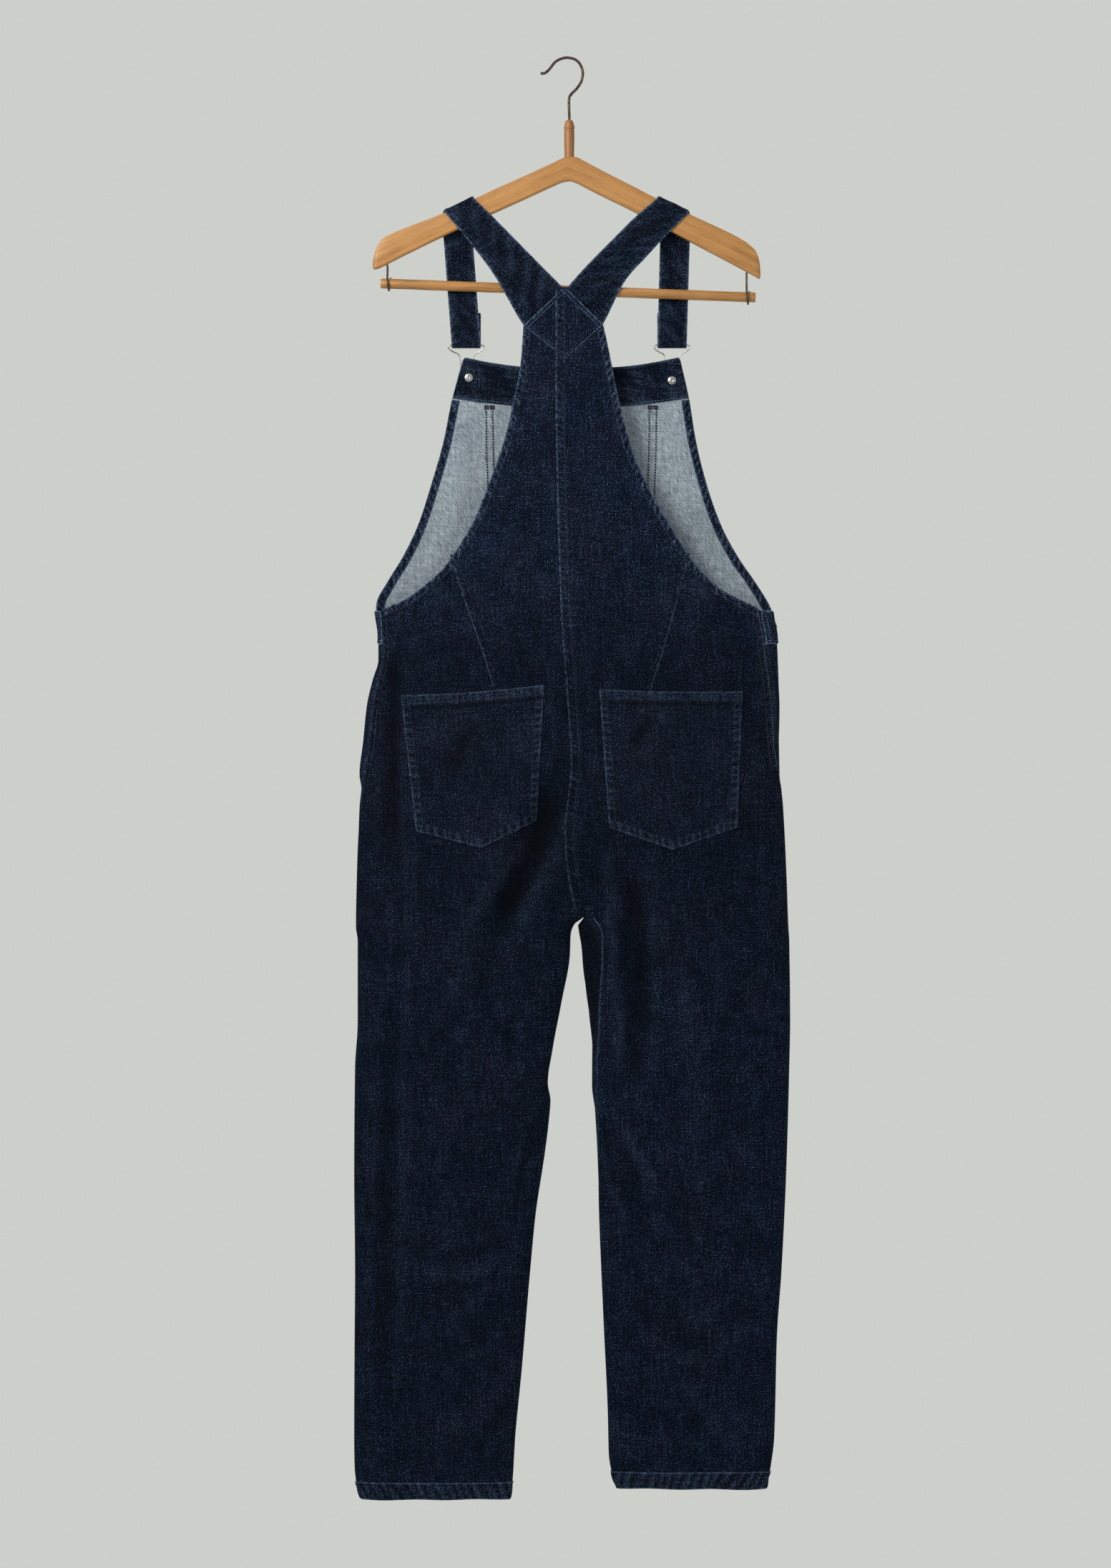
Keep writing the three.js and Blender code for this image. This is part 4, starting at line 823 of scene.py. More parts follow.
def wall(
    name: str,
    cloth: Cloth,
    near: Array | float,
    far: Array | float,
    finishes: Sequence[Material],
    wear: Optional[Array] = None,
    shade: Optional[Array] = None,
    mitre: float = 0,
    joined: bool = False,
    grain: Point = (0, 0),
) -> Object:
    """Make the closed wall of cloth between two distances from a grid.

    Args:
        name: the piece's name.
        cloth: the grid.
        near: the inner distance along the directions, for all or for each place.
        far: the outer distance.
        finishes: the outer face's material, and the inner face's where it differs.
        wear: how far each place is worn pale, from nought to one.
        shade: how far each place is painted darker, from nought to one: painted shade in folds, creases and hollows,
            and a tone painted darker by height.
        mitre: how far the two long edges are cut back on the inside.
        joined: whether the last column meets the first.
        grain: a shift of the weave, so that no two pieces carry the same flecks.

    Returns:
        The object.
    """
    rows, columns = cloth.points.shape[:2]
    outer = cloth.points + cloth.normals * np.broadcast_to(far, (rows, columns))[..., None]
    inner = cloth.points + cloth.normals * np.broadcast_to(near, (rows, columns))[..., None]
    if mitre:
        for edge, beside_it in ((0, 1), (-1, -2)):
            way = cloth.points[:, beside_it] - cloth.points[:, edge]
            inner[:, edge] += mitre * way / np.linalg.norm(way, axis=-1, keepdims=True)
    index = np.arange(rows * columns).reshape(rows, columns)
    after = np.roll(index, -1, axis=1) if joined else index[:, 1:]
    here = index if joined else index[:, :-1]
    under = rows * columns
    a, b, c, d = here[:-1], after[:-1], after[1:], here[1:]
    top = np.stack([a, b, c, d], axis=-1).reshape(-1, 4)
    sides = [np.stack([after[0], here[0], here[0] + under, after[0] + under], axis=-1)]
    sides.append(np.stack([here[-1], after[-1], after[-1] + under, here[-1] + under], axis=-1))
    if not joined:
        first, last = index[:, 0], index[:, -1]
        sides.append(np.stack([first[:-1], first[1:], first[1:] + under, first[:-1] + under], axis=-1))
        sides.append(np.stack([last[1:], last[:-1], last[:-1] + under, last[1:] + under], axis=-1))
    lower = top[:, ::-1] + under
    faces = np.vstack([top, *sides, lower])
    points = np.vstack([outer.reshape(-1, 3), inner.reshape(-1, 3)])
    corner = points[top]
    facing = np.cross(corner[:, 1] - corner[:, 0], corner[:, 2] - corner[:, 0])
    if np.sum(facing * cloth.normals.reshape(-1, 3)[top[:, 0]]) < 0:
        faces = faces[:, ::-1]
    slots = np.zeros(len(faces))
    slots[-len(lower):] = len(finishes) - 1
    flat = np.tile(cloth.flat.reshape(-1, 2) + np.asarray(grain), (2, 1))
    nought = np.zeros((rows, columns))
    worn, painted_darkening = (nought if v is None else np.clip(v, 0, 1) for v in (wear, shade))
    values = {"wear": np.tile(worn.ravel(), 2), "shade": np.tile(painted_darkening.ravel(), 2)}
    return make_piece(name, points, faces, finishes, flat, values, slots)


def linear(colour: str) -> tuple[float, float, float, float]:
    """Turn an sRGB hex colour to linear numbers with full opacity."""
    parts = [int(colour[i : i + 2], 16) / 255 for i in (1, 3, 5)]
    return (*[c / 12.92 if c <= 0.04045 else ((c + 0.055) / 1.055) ** 2.4 for c in parts], 1.0)


def feed(tree: NodeTree, taker: Node, inputs: dict[str | int, Any]) -> None:
    """Set a node's inputs.

    Args:
        tree: the tree that it is in.
        taker: the node.
        inputs: a value, an output or a node with one output for each input.
    """
    for key, value in inputs.items():
        source = value.outputs[0] if isinstance(value, Node) else value
        if isinstance(source, NodeSocket):
            tree.links.new(source, taker.inputs[key])
        else:
            taker.inputs[key].default_value = source


def node(
    tree: NodeTree,
    kind: str,
    inputs: Optional[dict[str | int, Any]] = None,
    stops: Sequence[tuple[float, str]] = (),
    **settings: Any,
) -> Node:
    """Add one node with its settings and links.

    Args:
        tree: the tree that it is added to.
        kind: the node's type.
        inputs: what each named input is fed with.
        stops: places and colours, for a colour ramp.
        settings: the node's own options.

    Returns:
        The node.
    """
    made = tree.nodes.new(kind)
    for key, value in settings.items():
        setattr(made, key, value)
    feed(tree, made, inputs or {})
    for i, (place, colour) in enumerate(stops):
        ramp = made.color_ramp.elements
        stop = ramp[i] if i < 2 else ramp.new(place)
        stop.position, stop.color = place, linear(colour)
    return made


def grains(
    tree: NodeTree,
    place: Node | NodeSocket,
    size: Sequence[float],
    turn: float = 0,
    detail: float = 2,
    shift: float = 0,
) -> Node:
    """Lay a field of soft grains.

    Args:
        tree: the material's tree.
        place: the coordinates, in metres.
        size: a grain's size in millimetres along each coordinate.
        turn: how far the grains are turned in the first two coordinates, in degrees.
        detail: how many finer layers are added.
        shift: moves the field, so that two fields differ.

    Returns:
        A number of about a half, more on the grains and less between them.
    """
    spaced = {"Vector": place, "Location": (shift, shift, shift), "Rotation": (0, 0, math.radians(turn))}
    spaced["Scale"] = tuple(s * MM for s in size)
    at = node(tree, "ShaderNodeMapping", spaced, vector_type="TEXTURE")
    return node(tree, "ShaderNodeTexNoise", {"Vector": at, "Scale": 1.0, "Detail": detail, "Roughness": 0.55})


def sum_of(tree: NodeTree, *parts: tuple[Node, float]) -> Node:
    """Add patterns by their weights, so that the sum stays about a half.

    Args:
        tree: the material's tree.
        parts: the patterns and their weights.

    Returns:
        The sum.
    """
    total = 0.5 - 0.5 * sum(weight for _, weight in parts)
    for pattern, weight in parts:
        total = node(tree, "ShaderNodeMath", {0: pattern, 1: weight, 2: total}, operation="MULTIPLY_ADD")
    return total


def new_material(name: str, **constants: Any) -> tuple[Material, NodeTree, Node]:
    """Start a material whose shader carries its constants on its own sockets.

    Args:
        name: what the material is.
        constants: the shader's inputs, with spaces written as underscores.

    Returns:
        The material, its tree and its shader.
    """
    material = bpy.data.materials.new(name)
    material.use_nodes = True
    shader = material.node_tree.nodes["Principled BSDF"]
    feed(material.node_tree, shader, {key.replace("_", " "): value for key, value in constants.items()})
    return material, material.node_tree, shader


@dataclass(frozen=True)
class IndigoDenim:
    """Washed indigo cotton twill: dark blue warp over a paler weft, rubbed pale on its edges."""

    name: str = "indigo_denim"
    deep: str = "#04070d"
    mid: str = "#0a1322"
    pale: str = "#1a253b"
    bright: str = "#404b60"
    worn: str = "#5c7190"
    painted_hollow_shade: str = "#020408"
    contrast: float = 1.0
    tone: float = 0.0

    def make(self) -> Material:
        """Build the weave from its real thread spacing, drawn coarser where it would be too fine to show.

        Returns:
            The material.
        """
        # Matt cotton with a faint bloom of loose fibres: it never shines, and its weft shows as pale flecks.
        material, tree, shader = new_material(
            self.name, Roughness=0.9, Specular_IOR_Level=0.06, Sheen_Weight=0.015, Sheen_Roughness=0.5,
            Sheen_Tint=linear("#9fb0cc"),
        )
        cut = node(tree, "ShaderNodeUVMap", uv_map="cut")
        # The twill's lines are 0.6 mm apart on the cloth and are drawn 1.3 mm apart.
        twill = grains(tree, cut, (1.3, 7, 1), turn=-27, detail=1)
        fleck = grains(tree, cut, (1.5, 1.8, 1), detail=3, shift=0.31)
        slub = grains(tree, cut, (2.1, 34, 1), shift=0.17)
        pick = grains(tree, cut, (30, 1.8, 1), shift=0.53)
        patch = grains(tree, cut, (46, 62, 1), detail=3, shift=0.71)
        wash = grains(tree, cut, (17, 22, 1), shift=0.93)
        c = self.contrast
        fine = (fleck, 2.1 * c), (slub, 0.5 * c), (pick, 0.32 * c)
        weave = sum_of(tree, *fine, (patch, 0.2), (wash, 0.24), (twill, 0.5 * c))
        toned = node(tree, "ShaderNodeMath", {0: weave, 1: self.tone}, operation="ADD")
        stops = ((0.26, self.deep), (0.5, self.mid), (0.68, self.pale), (0.9, self.bright))
        colour = node(tree, "ShaderNodeValToRGB", {0: toned}, stops=stops)
        # Indigo fades unevenly: some places lean to violet grey and some to a clearer blue.
        hue = grains(tree, cut, (70, 90, 1), shift=1.3)
        lean = node(tree, "ShaderNodeValToRGB", {0: hue}, stops=((0.38, "#f6ecf6"), (0.6, "#cdeaf6")))
        tinted = {0: 0.85, 6: colour, 7: lean}
        colour = node(tree, "ShaderNodeMix", tinted, data_type="RGBA", blend_type="MULTIPLY").outputs[2]
        rubbed = node(tree, "ShaderNodeAttribute", attribute_name="wear").outputs["Fac"]
        threads = node(tree, "ShaderNodeMath", {0: weave, 1: 2.6, 2: -0.55}, operation="MULTIPLY_ADD")
        bare = node(tree, "ShaderNodeMath", {0: rubbed, 1: threads}, operation="MULTIPLY", use_clamp=True)
        # The shade attribute paints the cloth towards the near-black hollow colour: painted shade in folds, creases and
        # hollows, and a darker tone by height.
        painted_darkening = node(tree, "ShaderNodeAttribute", attribute_name="shade").outputs["Fac"]
        for share, over in ((bare, self.worn), (painted_darkening, self.painted_hollow_shade)):
            mix = {0: share, 6: colour, 7: linear(over)}
            colour = node(tree, "ShaderNodeMix", mix, data_type="RGBA").outputs[2]
        height = sum_of(tree, (twill, 0.8), (fleck, 0.5), (slub, 0.3), (pick, 0.2))
        bump = node(tree, "ShaderNodeBump", {"Height": height, "Strength": 0.55, "Distance": 0.0006})
        feed(tree, shader, {"Base Color": colour, "Normal": bump})
        return material


@dataclass(frozen=True)
class DenimInside:
    """The inner face of denim: mostly undyed weft, with the indigo warp as faint diagonal lines."""

    name: str = "denim_inside"
    deep: str = "#56616d"
    mid: str = "#838f9a"
    pale: str = "#aeb8c1"
    painted_hollow_shade: str = "#2b323a"

    def make(self) -> Material:
        """Build a pale grey-blue twill, soft and matt.

        Returns:
            The material.
        """
        # Raw cotton weft: chalky, a little blue, with fine slanting lines and small slubs.
        material, tree, shader = new_material(self.name, Roughness=0.92, Specular_IOR_Level=0.2, Sheen_Weight=0.05)
        cut = node(tree, "ShaderNodeUVMap", uv_map="cut")
        twill = grains(tree, cut, (1.2, 9, 1), turn=32, detail=1)
        fleck = grains(tree, cut, (1.0, 1.3, 1), detail=3, shift=0.4)
        pick = grains(tree, cut, (26, 1.6, 1), detail=1, shift=0.8)
        slub = grains(tree, cut, (1.6, 34, 1), detail=1, shift=0.6)
        soft = grains(tree, cut, (55, 60, 1), shift=0.2)
        weave = sum_of(tree, (twill, 0.8), (fleck, 0.8), (pick, 0.35), (slub, 0.35), (soft, 0.3))
        stops = ((0.22, self.deep), (0.5, self.mid), (0.8, self.pale))
        colour = node(tree, "ShaderNodeValToRGB", {0: weave}, stops=stops)
        # The shade attribute paints the inside towards its dark hollow colour: painted shade in hollows, and the darker
        # tone by height.
        painted_darkening = node(tree, "ShaderNodeAttribute", attribute_name="shade").outputs["Fac"]
        mix = {0: painted_darkening, 6: colour, 7: linear(self.painted_hollow_shade)}
        colour = node(tree, "ShaderNodeMix", mix, data_type="RGBA").outputs[2]
        bump = node(tree, "ShaderNodeBump", {"Height": weave, "Strength": 0.5, "Distance": 0.0005})
        feed(tree, shader, {"Base Color": colour, "Normal": bump})
        return material


@dataclass(frozen=True)
class SewingThread:
    """Spun polyester sewing thread, a little smoother than the cloth."""

    name: str
    colour: str
    faded: str

    def make(self) -> Material:
        """Build a thread that is faded here and there.

        Returns:
            The material.
        """
        # Each stitch is a small rounded bead, satin on top and darker where it enters the cloth.
        material, tree, shader = new_material(self.name, Roughness=0.66, Specular_IOR_Level=0.3, Sheen_Weight=0.05)
        place = node(tree, "ShaderNodeTexCoord").outputs["Object"]
        fade = grains(tree, place, (14, 14, 14))
        twist = grains(tree, place, (0.5, 0.5, 0.5), detail=1)
        look = sum_of(tree, (fade, 1.3), (twist, 0.6))
        colour = node(tree, "ShaderNodeValToRGB", {0: look}, stops=((0.3, self.colour), (0.75, self.faded)))
        bump = node(tree, "ShaderNodeBump", {"Height": twist, "Strength": 0.4, "Distance": 0.0002})
        feed(tree, shader, {"Base Color": colour, "Normal": bump})
        return material


@dataclass(frozen=True)
class Beech:
    """Oiled steamed beech, honey brown with short dark pores along the grain."""

    name: str
    light: str = "#ba8850"
    mid: str = "#a9773f"
    dark: str = "#8d5f31"
    pores: str = "#6d4523"
    slope: float = 0.0
    upright: bool = False

    def make(self) -> Material:
        """Build the grain along the piece, which on the arms falls away on both sides of the middle.

        Returns:
            The material.
        """
        # Hand-worn oil finish: satin, with fine pores that catch no light.
        satin = {"Roughness": 0.46, "Specular_IOR_Level": 0.42, "Coat_Weight": 0.12, "Coat_Roughness": 0.35}
        material, tree, shader = new_material(self.name, **satin)
        place = node(tree, "ShaderNodeTexCoord").outputs["Object"]
        axes = node(tree, "ShaderNodeSeparateXYZ", {0: place}).outputs
        along, across = (axes["Z"], axes["X"]) if self.upright else (axes["X"], axes["Z"])
        if self.slope:
            along = node(tree, "ShaderNodeMath", {0: along}, operation="ABSOLUTE")
        flat = node(tree, "ShaderNodeCombineXYZ", {"X": along, "Y": across, "Z": axes["Y"]})
        figure = grains(tree, flat, (170, 5.5, 12), turn=-self.slope, detail=3)
        fibre = grains(tree, flat, (26, 0.8, 1.2), turn=-self.slope, detail=3, shift=0.3)
        pore = grains(tree, flat, (5.5, 0.55, 0.9), turn=-self.slope, detail=1, shift=0.6)
        stain = grains(tree, flat, (38, 22, 30), shift=0.9)
        look = sum_of(tree, (figure, 0.7), (fibre, 0.6), (stain, 0.3))
        stops = ((0.28, self.dark), (0.5, self.mid), (0.74, self.light))
        colour = node(tree, "ShaderNodeValToRGB", {0: look}, stops=stops)
        short = node(tree, "ShaderNodeMapRange", {"Value": pore, "From Min": 0.60, "From Max": 0.72, "To Max": 0.4})
        mix = {0: short, 6: colour, 7: linear(self.pores)}
        colour = node(tree, "ShaderNodeMix", mix, data_type="RGBA").outputs[2]
        height = sum_of(tree, (fibre, 0.8), (pore, -0.8))
        bump = node(tree, "ShaderNodeBump", {"Height": height, "Strength": 0.25, "Distance": 0.0004})
        feed(tree, shader, {"Base Color": colour, "Normal": bump})
        return material


@dataclass(frozen=True)
class PlainMetal:
    """A drawn or stamped metal: its two tones and how it was finished."""

    name: str
    light: str
    dark: str
    metallic: float
    roughness: float
    spot: float = 2.5

    def make(self) -> Material:
        """Build a metal with small dull spots.

        Returns:
            The material.
        """
        # Old wire is brown with oxide and only glints, and nickel plate is bright with a light bloom.
        material, tree, shader = new_material(self.name, Metallic=self.metallic)
        place = node(tree, "ShaderNodeTexCoord").outputs["Object"]
        dull = grains(tree, place, (self.spot,) * 3, detail=4)
        fine = grains(tree, place, (0.4, 0.4, 0.4), shift=0.4)
        look = sum_of(tree, (dull, 1.2), (fine, 0.4))
        colour = node(tree, "ShaderNodeValToRGB", {0: look}, stops=((0.3, self.dark), (0.62, self.light)))
        matt = {"Value": look, "From Min": 0.25, "From Max": 0.75}
        matt |= {"To Min": self.roughness + 0.14, "To Max": self.roughness - 0.06}
        rough = node(tree, "ShaderNodeMapRange", matt)
        bump = node(tree, "ShaderNodeBump", {"Height": fine, "Strength": 0.15, "Distance": 0.0001})
        feed(tree, shader, {"Base Color": colour, "Roughness": rough, "Normal": bump})
        return material


class Finishes:
    """Every material of the garment and its hanger, each made once."""

    def __init__(self) -> None:
        """Make them all."""
        self.denim = IndigoDenim().make()
        self.seam = IndigoDenim("indigo_denim_seam", contrast=1.1, tone=-0.01).make()
        self.pocket = IndigoDenim("indigo_denim_pocket", deep="#05080f", mid="#0c1525", pale="#1e283b", tone=0.0).make()
        self.strap = IndigoDenim("indigo_denim_strap", contrast=1.1, tone=-0.02).make()
        self.hem = IndigoDenim("indigo_denim_hem", contrast=1.2, tone=0.03).make()
        self.inside = DenimInside().make()
        self.thread = {
            Thread.TONAL: SewingThread("sewing_thread_tonal", "#0e1728", "#2a3a55").make(),
            Thread.PALE: SewingThread("sewing_thread_pale", "#34456a", "#66799a").make(),
            Thread.NAVY: SewingThread("sewing_thread_navy", "#060a12", "#111927").make(),
        }
        self.arms = Beech("oiled_beech_arms", slope=25).make()
        self.peg = Beech("oiled_beech_peg", light="#a3703c", mid="#8c5c2f", dark="#6b4421", upright=True).make()
        self.bar = Beech("oiled_beech_bar", light="#bd8a53", mid="#a87743", dark="#87602f").make()
        self.wire = PlainMetal("tarnished_steel_wire", "#5d5148", "#2a231e", 0.85, 0.42).make()
        self.nickel = PlainMetal("nickel_plate", "#c4c3c1", "#85837f", 1.0, 0.3, 3.5).make()
        self.rivet = PlainMetal("dulled_nickel_rivet", "#b9b9b9", "#83827f", 1.0, 0.38, 1.8).make()


def path_tree(name: str, sizes: dict[str, str]) -> tuple[NodeTree, dict[str, NodeSocket]]:
    """Start a Geometry Nodes tree that reads paths.

    Args:
        name: the tree's name.
        sizes: its inputs' names and types.

    Returns:
        The tree and its inputs, with the paths as a curve under "Curve".
    """
    tree = bpy.data.node_groups.new(name, "GeometryNodeTree")
    tree.interface.new_socket(name="Paths", in_out="INPUT", socket_type="NodeSocketGeometry")
    for key, kind in sizes.items():
        tree.interface.new_socket(name=key, in_out="INPUT", socket_type=kind)
    tree.interface.new_socket(name="Pieces", in_out="OUTPUT", socket_type="NodeSocketGeometry")
    given = node(tree, "NodeGroupInput").outputs
    found = {key: given[key] for key in sizes}
    found["Curve"] = node(tree, "GeometryNodeMeshToCurve", {"Mesh": given["Paths"]}).outputs[0]
    return tree, found


def end_tree(tree: NodeTree, pieces: Node, finish: NodeSocket) -> None:
    """End a tree with real faces in one material.

    Args:
        tree: the tree.
        pieces: what it has made.
        finish: the material's input.
    """
    real = node(tree, "GeometryNodeRealizeInstances", {0: pieces})
    node(tree, "NodeGroupOutput", {0: node(tree, "GeometryNodeSetMaterial", {"Geometry": real, "Material": finish})})


def stitch_tree() -> NodeTree:
    """Build the tree that lays stitches along rows, each turned to the cloth that it lies on.

    Returns:
        The tree.
    """
    kinds = dict.fromkeys(("Pitch", "Length", "Width", "Height"), "Float") | {"Seed": "Int", "Thread": "Material"}
    tree, given = path_tree("Stitch rows", {key: f"NodeSocket{kind}" for key, kind in kinds.items()})
    row = node(tree, "GeometryNodeResampleCurve", {"Curve": given["Curve"], "Length": given["Pitch"]}, mode="LENGTH")
    tangent = node(tree, "GeometryNodeInputTangent")
    lay = node(tree, "GeometryNodeInputNamedAttribute", {"Name": "lay"}, data_type="FLOAT_VECTOR")
    along = node(tree, "FunctionNodeAlignRotationToVector", {"Vector": tangent}, axis="X")
    lying = {"Rotation": along, "Vector": lay}
    turned = node(tree, "FunctionNodeAlignRotationToVector", lying, axis="Z", pivot_axis="X")
    bead = node(tree, "GeometryNodeMeshUVSphere", {"Segments": 6, "Rings": 4, "Radius": 0.5})
    size = node(tree, "ShaderNodeCombineXYZ", {"X": given["Length"], "Y": given["Width"], "Z": given["Height"]})
    stitch = node(tree, "GeometryNodeTransform", {"Geometry": bead, "Scale": size})
    soft = node(tree, "GeometryNodeSetShadeSmooth", {0: stitch})
    uneven = {"Min": (0.82, 0.85, 0.8), "Max": (1.08, 1.15, 1.2), "Seed": given["Seed"]}
    scale = node(tree, "FunctionNodeRandomValue", uneven, data_type="FLOAT_VECTOR")
    laid = {"Points": row, "Instance": soft, "Rotation": turned, "Scale": scale}
    end_tree(tree, node(tree, "GeometryNodeInstanceOnPoints", laid), given["Thread"])
    return tree


def wire_tree() -> NodeTree:
    """Build the tree that draws a round wire with closed ends along a path.

    Returns:
        The tree.
    """
    kinds = {"Radius": "NodeSocketFloat", "Sides": "NodeSocketInt", "Metal": "NodeSocketMaterial"}
    tree, given = path_tree("Bent wire", kinds)
    ring = node(tree, "GeometryNodeCurvePrimitiveCircle", {"Resolution": given["Sides"], "Radius": given["Radius"]})
    drawn = {"Curve": given["Curve"], "Profile Curve": ring, "Fill Caps": True}
    soft = node(tree, "GeometryNodeSetShadeSmooth", {0: node(tree, "GeometryNodeCurveToMesh", drawn)})
    end_tree(tree, soft, given["Metal"])
    return tree


def grown(name: str, rows: Sequence[tuple[Array, Array]], tree: NodeTree, **sizes: object) -> Object:
    """Run a tree on open paths and keep what it makes as a plain mesh.

    Args:
        name: the piece's name.
        rows: each path's points in millimetres, and the cloth's outward direction at each.
        tree: the tree.
        sizes: its inputs by name, in metres where they are lengths.

    Returns:
        The object.
    """
    points = np.vstack([p for p, _ in rows]) * MM
    edges, start = [], 0
    for path, _ in rows:
        edges += [(i, i + 1) for i in range(start, start + len(path) - 1)]
        start += len(path)
    paths = bpy.data.meshes.new(f"{name}_paths")
    paths.from_pydata(points.tolist(), edges, [])
    lay = np.vstack([n for _, n in rows]).astype(np.float32)
    paths.attributes.new("lay", "FLOAT_VECTOR", "POINT").data.foreach_set("vector", lay.ravel())
    carrier = bpy.data.objects.new(f"{name}_carrier", paths)
    modifier = carrier.modifiers.new(tree.name, "NODES")
    modifier.node_group = tree
    for item in tree.interface.items_tree:
        if item.item_type == "SOCKET" and item.in_out == "INPUT" and item.name in sizes:
            modifier[item.identifier] = sizes[item.name]
    bpy.context.scene.collection.objects.link(carrier)
    depsgraph = bpy.context.evaluated_depsgraph_get()
    mesh = bpy.data.meshes.new_from_object(carrier.evaluated_get(depsgraph))
    mesh.name = name
    bpy.data.objects.remove(carrier)
    piece = bpy.data.objects.new(name, mesh)
    bpy.context.scene.collection.objects.link(piece)
    return piece


@dataclass
class Stitching:
    """Gathers rows of stitches while the cloth is made, and sews each thread's rows at the end."""

    pitch: float = 3.1
    length: float = 2.5
    height: float = 0.42
    rows: dict[Thread, list[tuple[Array, Array]]] = field(default_factory=dict)

    def row(self, thread: Thread, points: Array, normals: Array) -> None:
        """Add one row of places and outward directions."""
        if len(points) > 1:
            self.rows.setdefault(thread, []).append((points, normals))

    def sew(self, finishes: Finishes) -> None:
        """Make every row, one piece for each thread.

        Args:
            finishes: the materials.
        """
        tree = stitch_tree()
        sizes = {"Pitch": self.pitch * MM, "Length": self.length * MM, "Height": self.height * MM}
        for seed, thread in enumerate(Thread):
            finish = {"Thread": finishes.thread[thread], "Width": THREAD_WIDTHS[thread] * MM}
            piece = grown(f"stitches_{thread.value}", self.rows[thread], tree, Seed=seed, **finish, **sizes)
            settle(piece, "denim")


Surface = Callable[[Array, Array], tuple[Array, Array]]


@dataclass
class Workshop:
    """What every sub-assembly is made with: the form, the finishes, the stitching and what is made so far."""

    form: GarmentForm
    finishes: Finishes
    stitching: Stitching
    made: dict[str, Object] = field(default_factory=dict)
    areas: dict[str, float] = field(default_factory=dict)

    def keep(self, name: str, piece: Object, *nodes: str, cloth: Optional[Cloth] = None) -> None:
        """Settle a piece of cloth on the body and note it.

        Args:
            name: what it is known by.
            piece: the piece.
            nodes: the frame's nodes that it stands for.
            cloth: its grid, where its area counts.
        """
        if cloth is not None:
            self.areas[name] = cloth.area()
        self.made[name] = settle(piece, "denim", *nodes)

    def stitch(
        self, thread: Thread, surface: Surface, corners: Sequence[Point], above: float, spacing: float = 1.55
    ) -> None:
        """Lay a row of stitches through sharp corners.

        Args:
            thread: the thread.
            surface: finds the cloth by X and Z.
            corners: the row's corners.
            above: how far it lies above the surface.
            spacing: the distance between its samples.
        """
        for a, b in zip(corners, corners[1:]):
            line = rounded((a, b), spacing)
            on, out = surface(line[:, 0], line[:, 1])
            self.stitching.row(thread, on + out * above, out)


@dataclass
class Part:
    """A sub-assembly and the workshop that it is made in."""

    shop: Workshop

    @property
    def form(self) -> GarmentForm:
        """The garment's form."""
        return self.shop.form


@dataclass
class Trim:
    """A narrow strip that is sewn or turned along a path: a felled seam, a hem, a facing or a dart's edge."""

    name: str
    path: Sequence[Point]
    width: float
    rise: float = 0.8
    pucker: float = 0.28
    pitch: float = 8.5
    slant: float = 0.7
    worn: tuple[float, float] = (0.5, 0.5)
    crest: float = 0.5
    fall: tuple[float, float] = (1.0, 1.0)
    rows: Sequence[tuple[float, Thread]] = ()
    seed: int = 1
    nodes: tuple[str, ...] = ()

    def make(self, shop: Workshop, surface: Surface) -> None:
        """Make the strip on a surface, with its rows of stitches.

        Args:
            shop: what it is made with.
            surface: finds the cloth under it by X and Z.
        """
        line = rounded(self.path, 2.2)
        half = self.width / 2
        rim = np.minimum([0, 0.6], 0.4 * half)
        flat = np.linspace(-1, 1, max(2, int(self.width / 1.8)) + 1) * (half - min(1.5, 0.7 * half))
        off = np.concatenate([rim - half, flat, half - rim[::-1]])
        share = off / half
        grid = np.stack([beside(line, -o) for o in off], axis=1)
        points, normals = surface(grid[..., 0], grid[..., 1])
        run = run_along(line)[:, None]
        uneven = wave(self.seed, 26, run, parts=4)
        rope = puckers(run + self.slant * off, self.pitch, 1.5 * uneven)
        mid = 1 - np.abs(share) ** 3
        across = (share + 1) / 2
        thick = self.rise * (self.fall[0] * (1 - across) + self.fall[1] * across)
        inset = half - np.abs(off)
        far = thick * (0.45 + 0.55 * smooth(inset / 1.3)) + self.pucker * rope * mid
        far[[0, -1]] = 0.2
        edge = np.where(share < 0, *self.worn) * np.where(inset < 0.7, 1, 0.25 * (inset < 1.6))
        patchy = 0.72 + 0.45 * wave(self.seed + 7, 11, run, parts=4)
        wear = edge * patchy + self.crest * np.clip(rope, 0, 1) * mid * (0.6 + 0.4 * uneven)
        laid = Cloth(points, normals, np.stack(np.broadcast_arrays(off, run), axis=-1))
        # Painted shade in the troughs of the rope, over the body's darkening by height.
        shade = darkening_by_height(grid[..., 1]) + 0.3 * np.clip(-rope, 0, 1) * mid
        grain = (31 * self.seed, 17 * self.seed)
        piece = wall(self.name, laid, -0.25, far, [shop.finishes.seam], wear, shade, grain=grain)
        for offset, thread in self.rows:
            seam = rounded(beside(line, -offset), 1.55)
            on, out = surface(seam[:, 0], seam[:, 1])
            level = self.rise * (self.fall[0] + (self.fall[1] - self.fall[0]) * (offset / half + 1) / 2)
            shop.stitching.row(thread, on + out * (level + 0.1), out)
        shop.keep(self.name, piece, *self.nodes)


def darkening_by_height(z: Array) -> Array:
    """Say how much darker the cloth at each height is painted."""
    heights, amounts = np.asarray(HEIGHT_DARKENING).T
    return np.interp(-z, -heights, amounts)


def softened(values: Array, reach: int) -> Array:
    """Blur a grid of numbers.

    Args:
        values: the grid.
        reach: over how many cells each way.

    Returns:
        The grid.
    """
    for axis in (0, 1):
        size = values.shape[axis]
        near = [np.clip(np.arange(size) + k, 0, size - 1) for k in range(-reach, reach + 1)]
        values = sum(np.take(values, at, axis=axis) for at in near) / len(near)
    return values


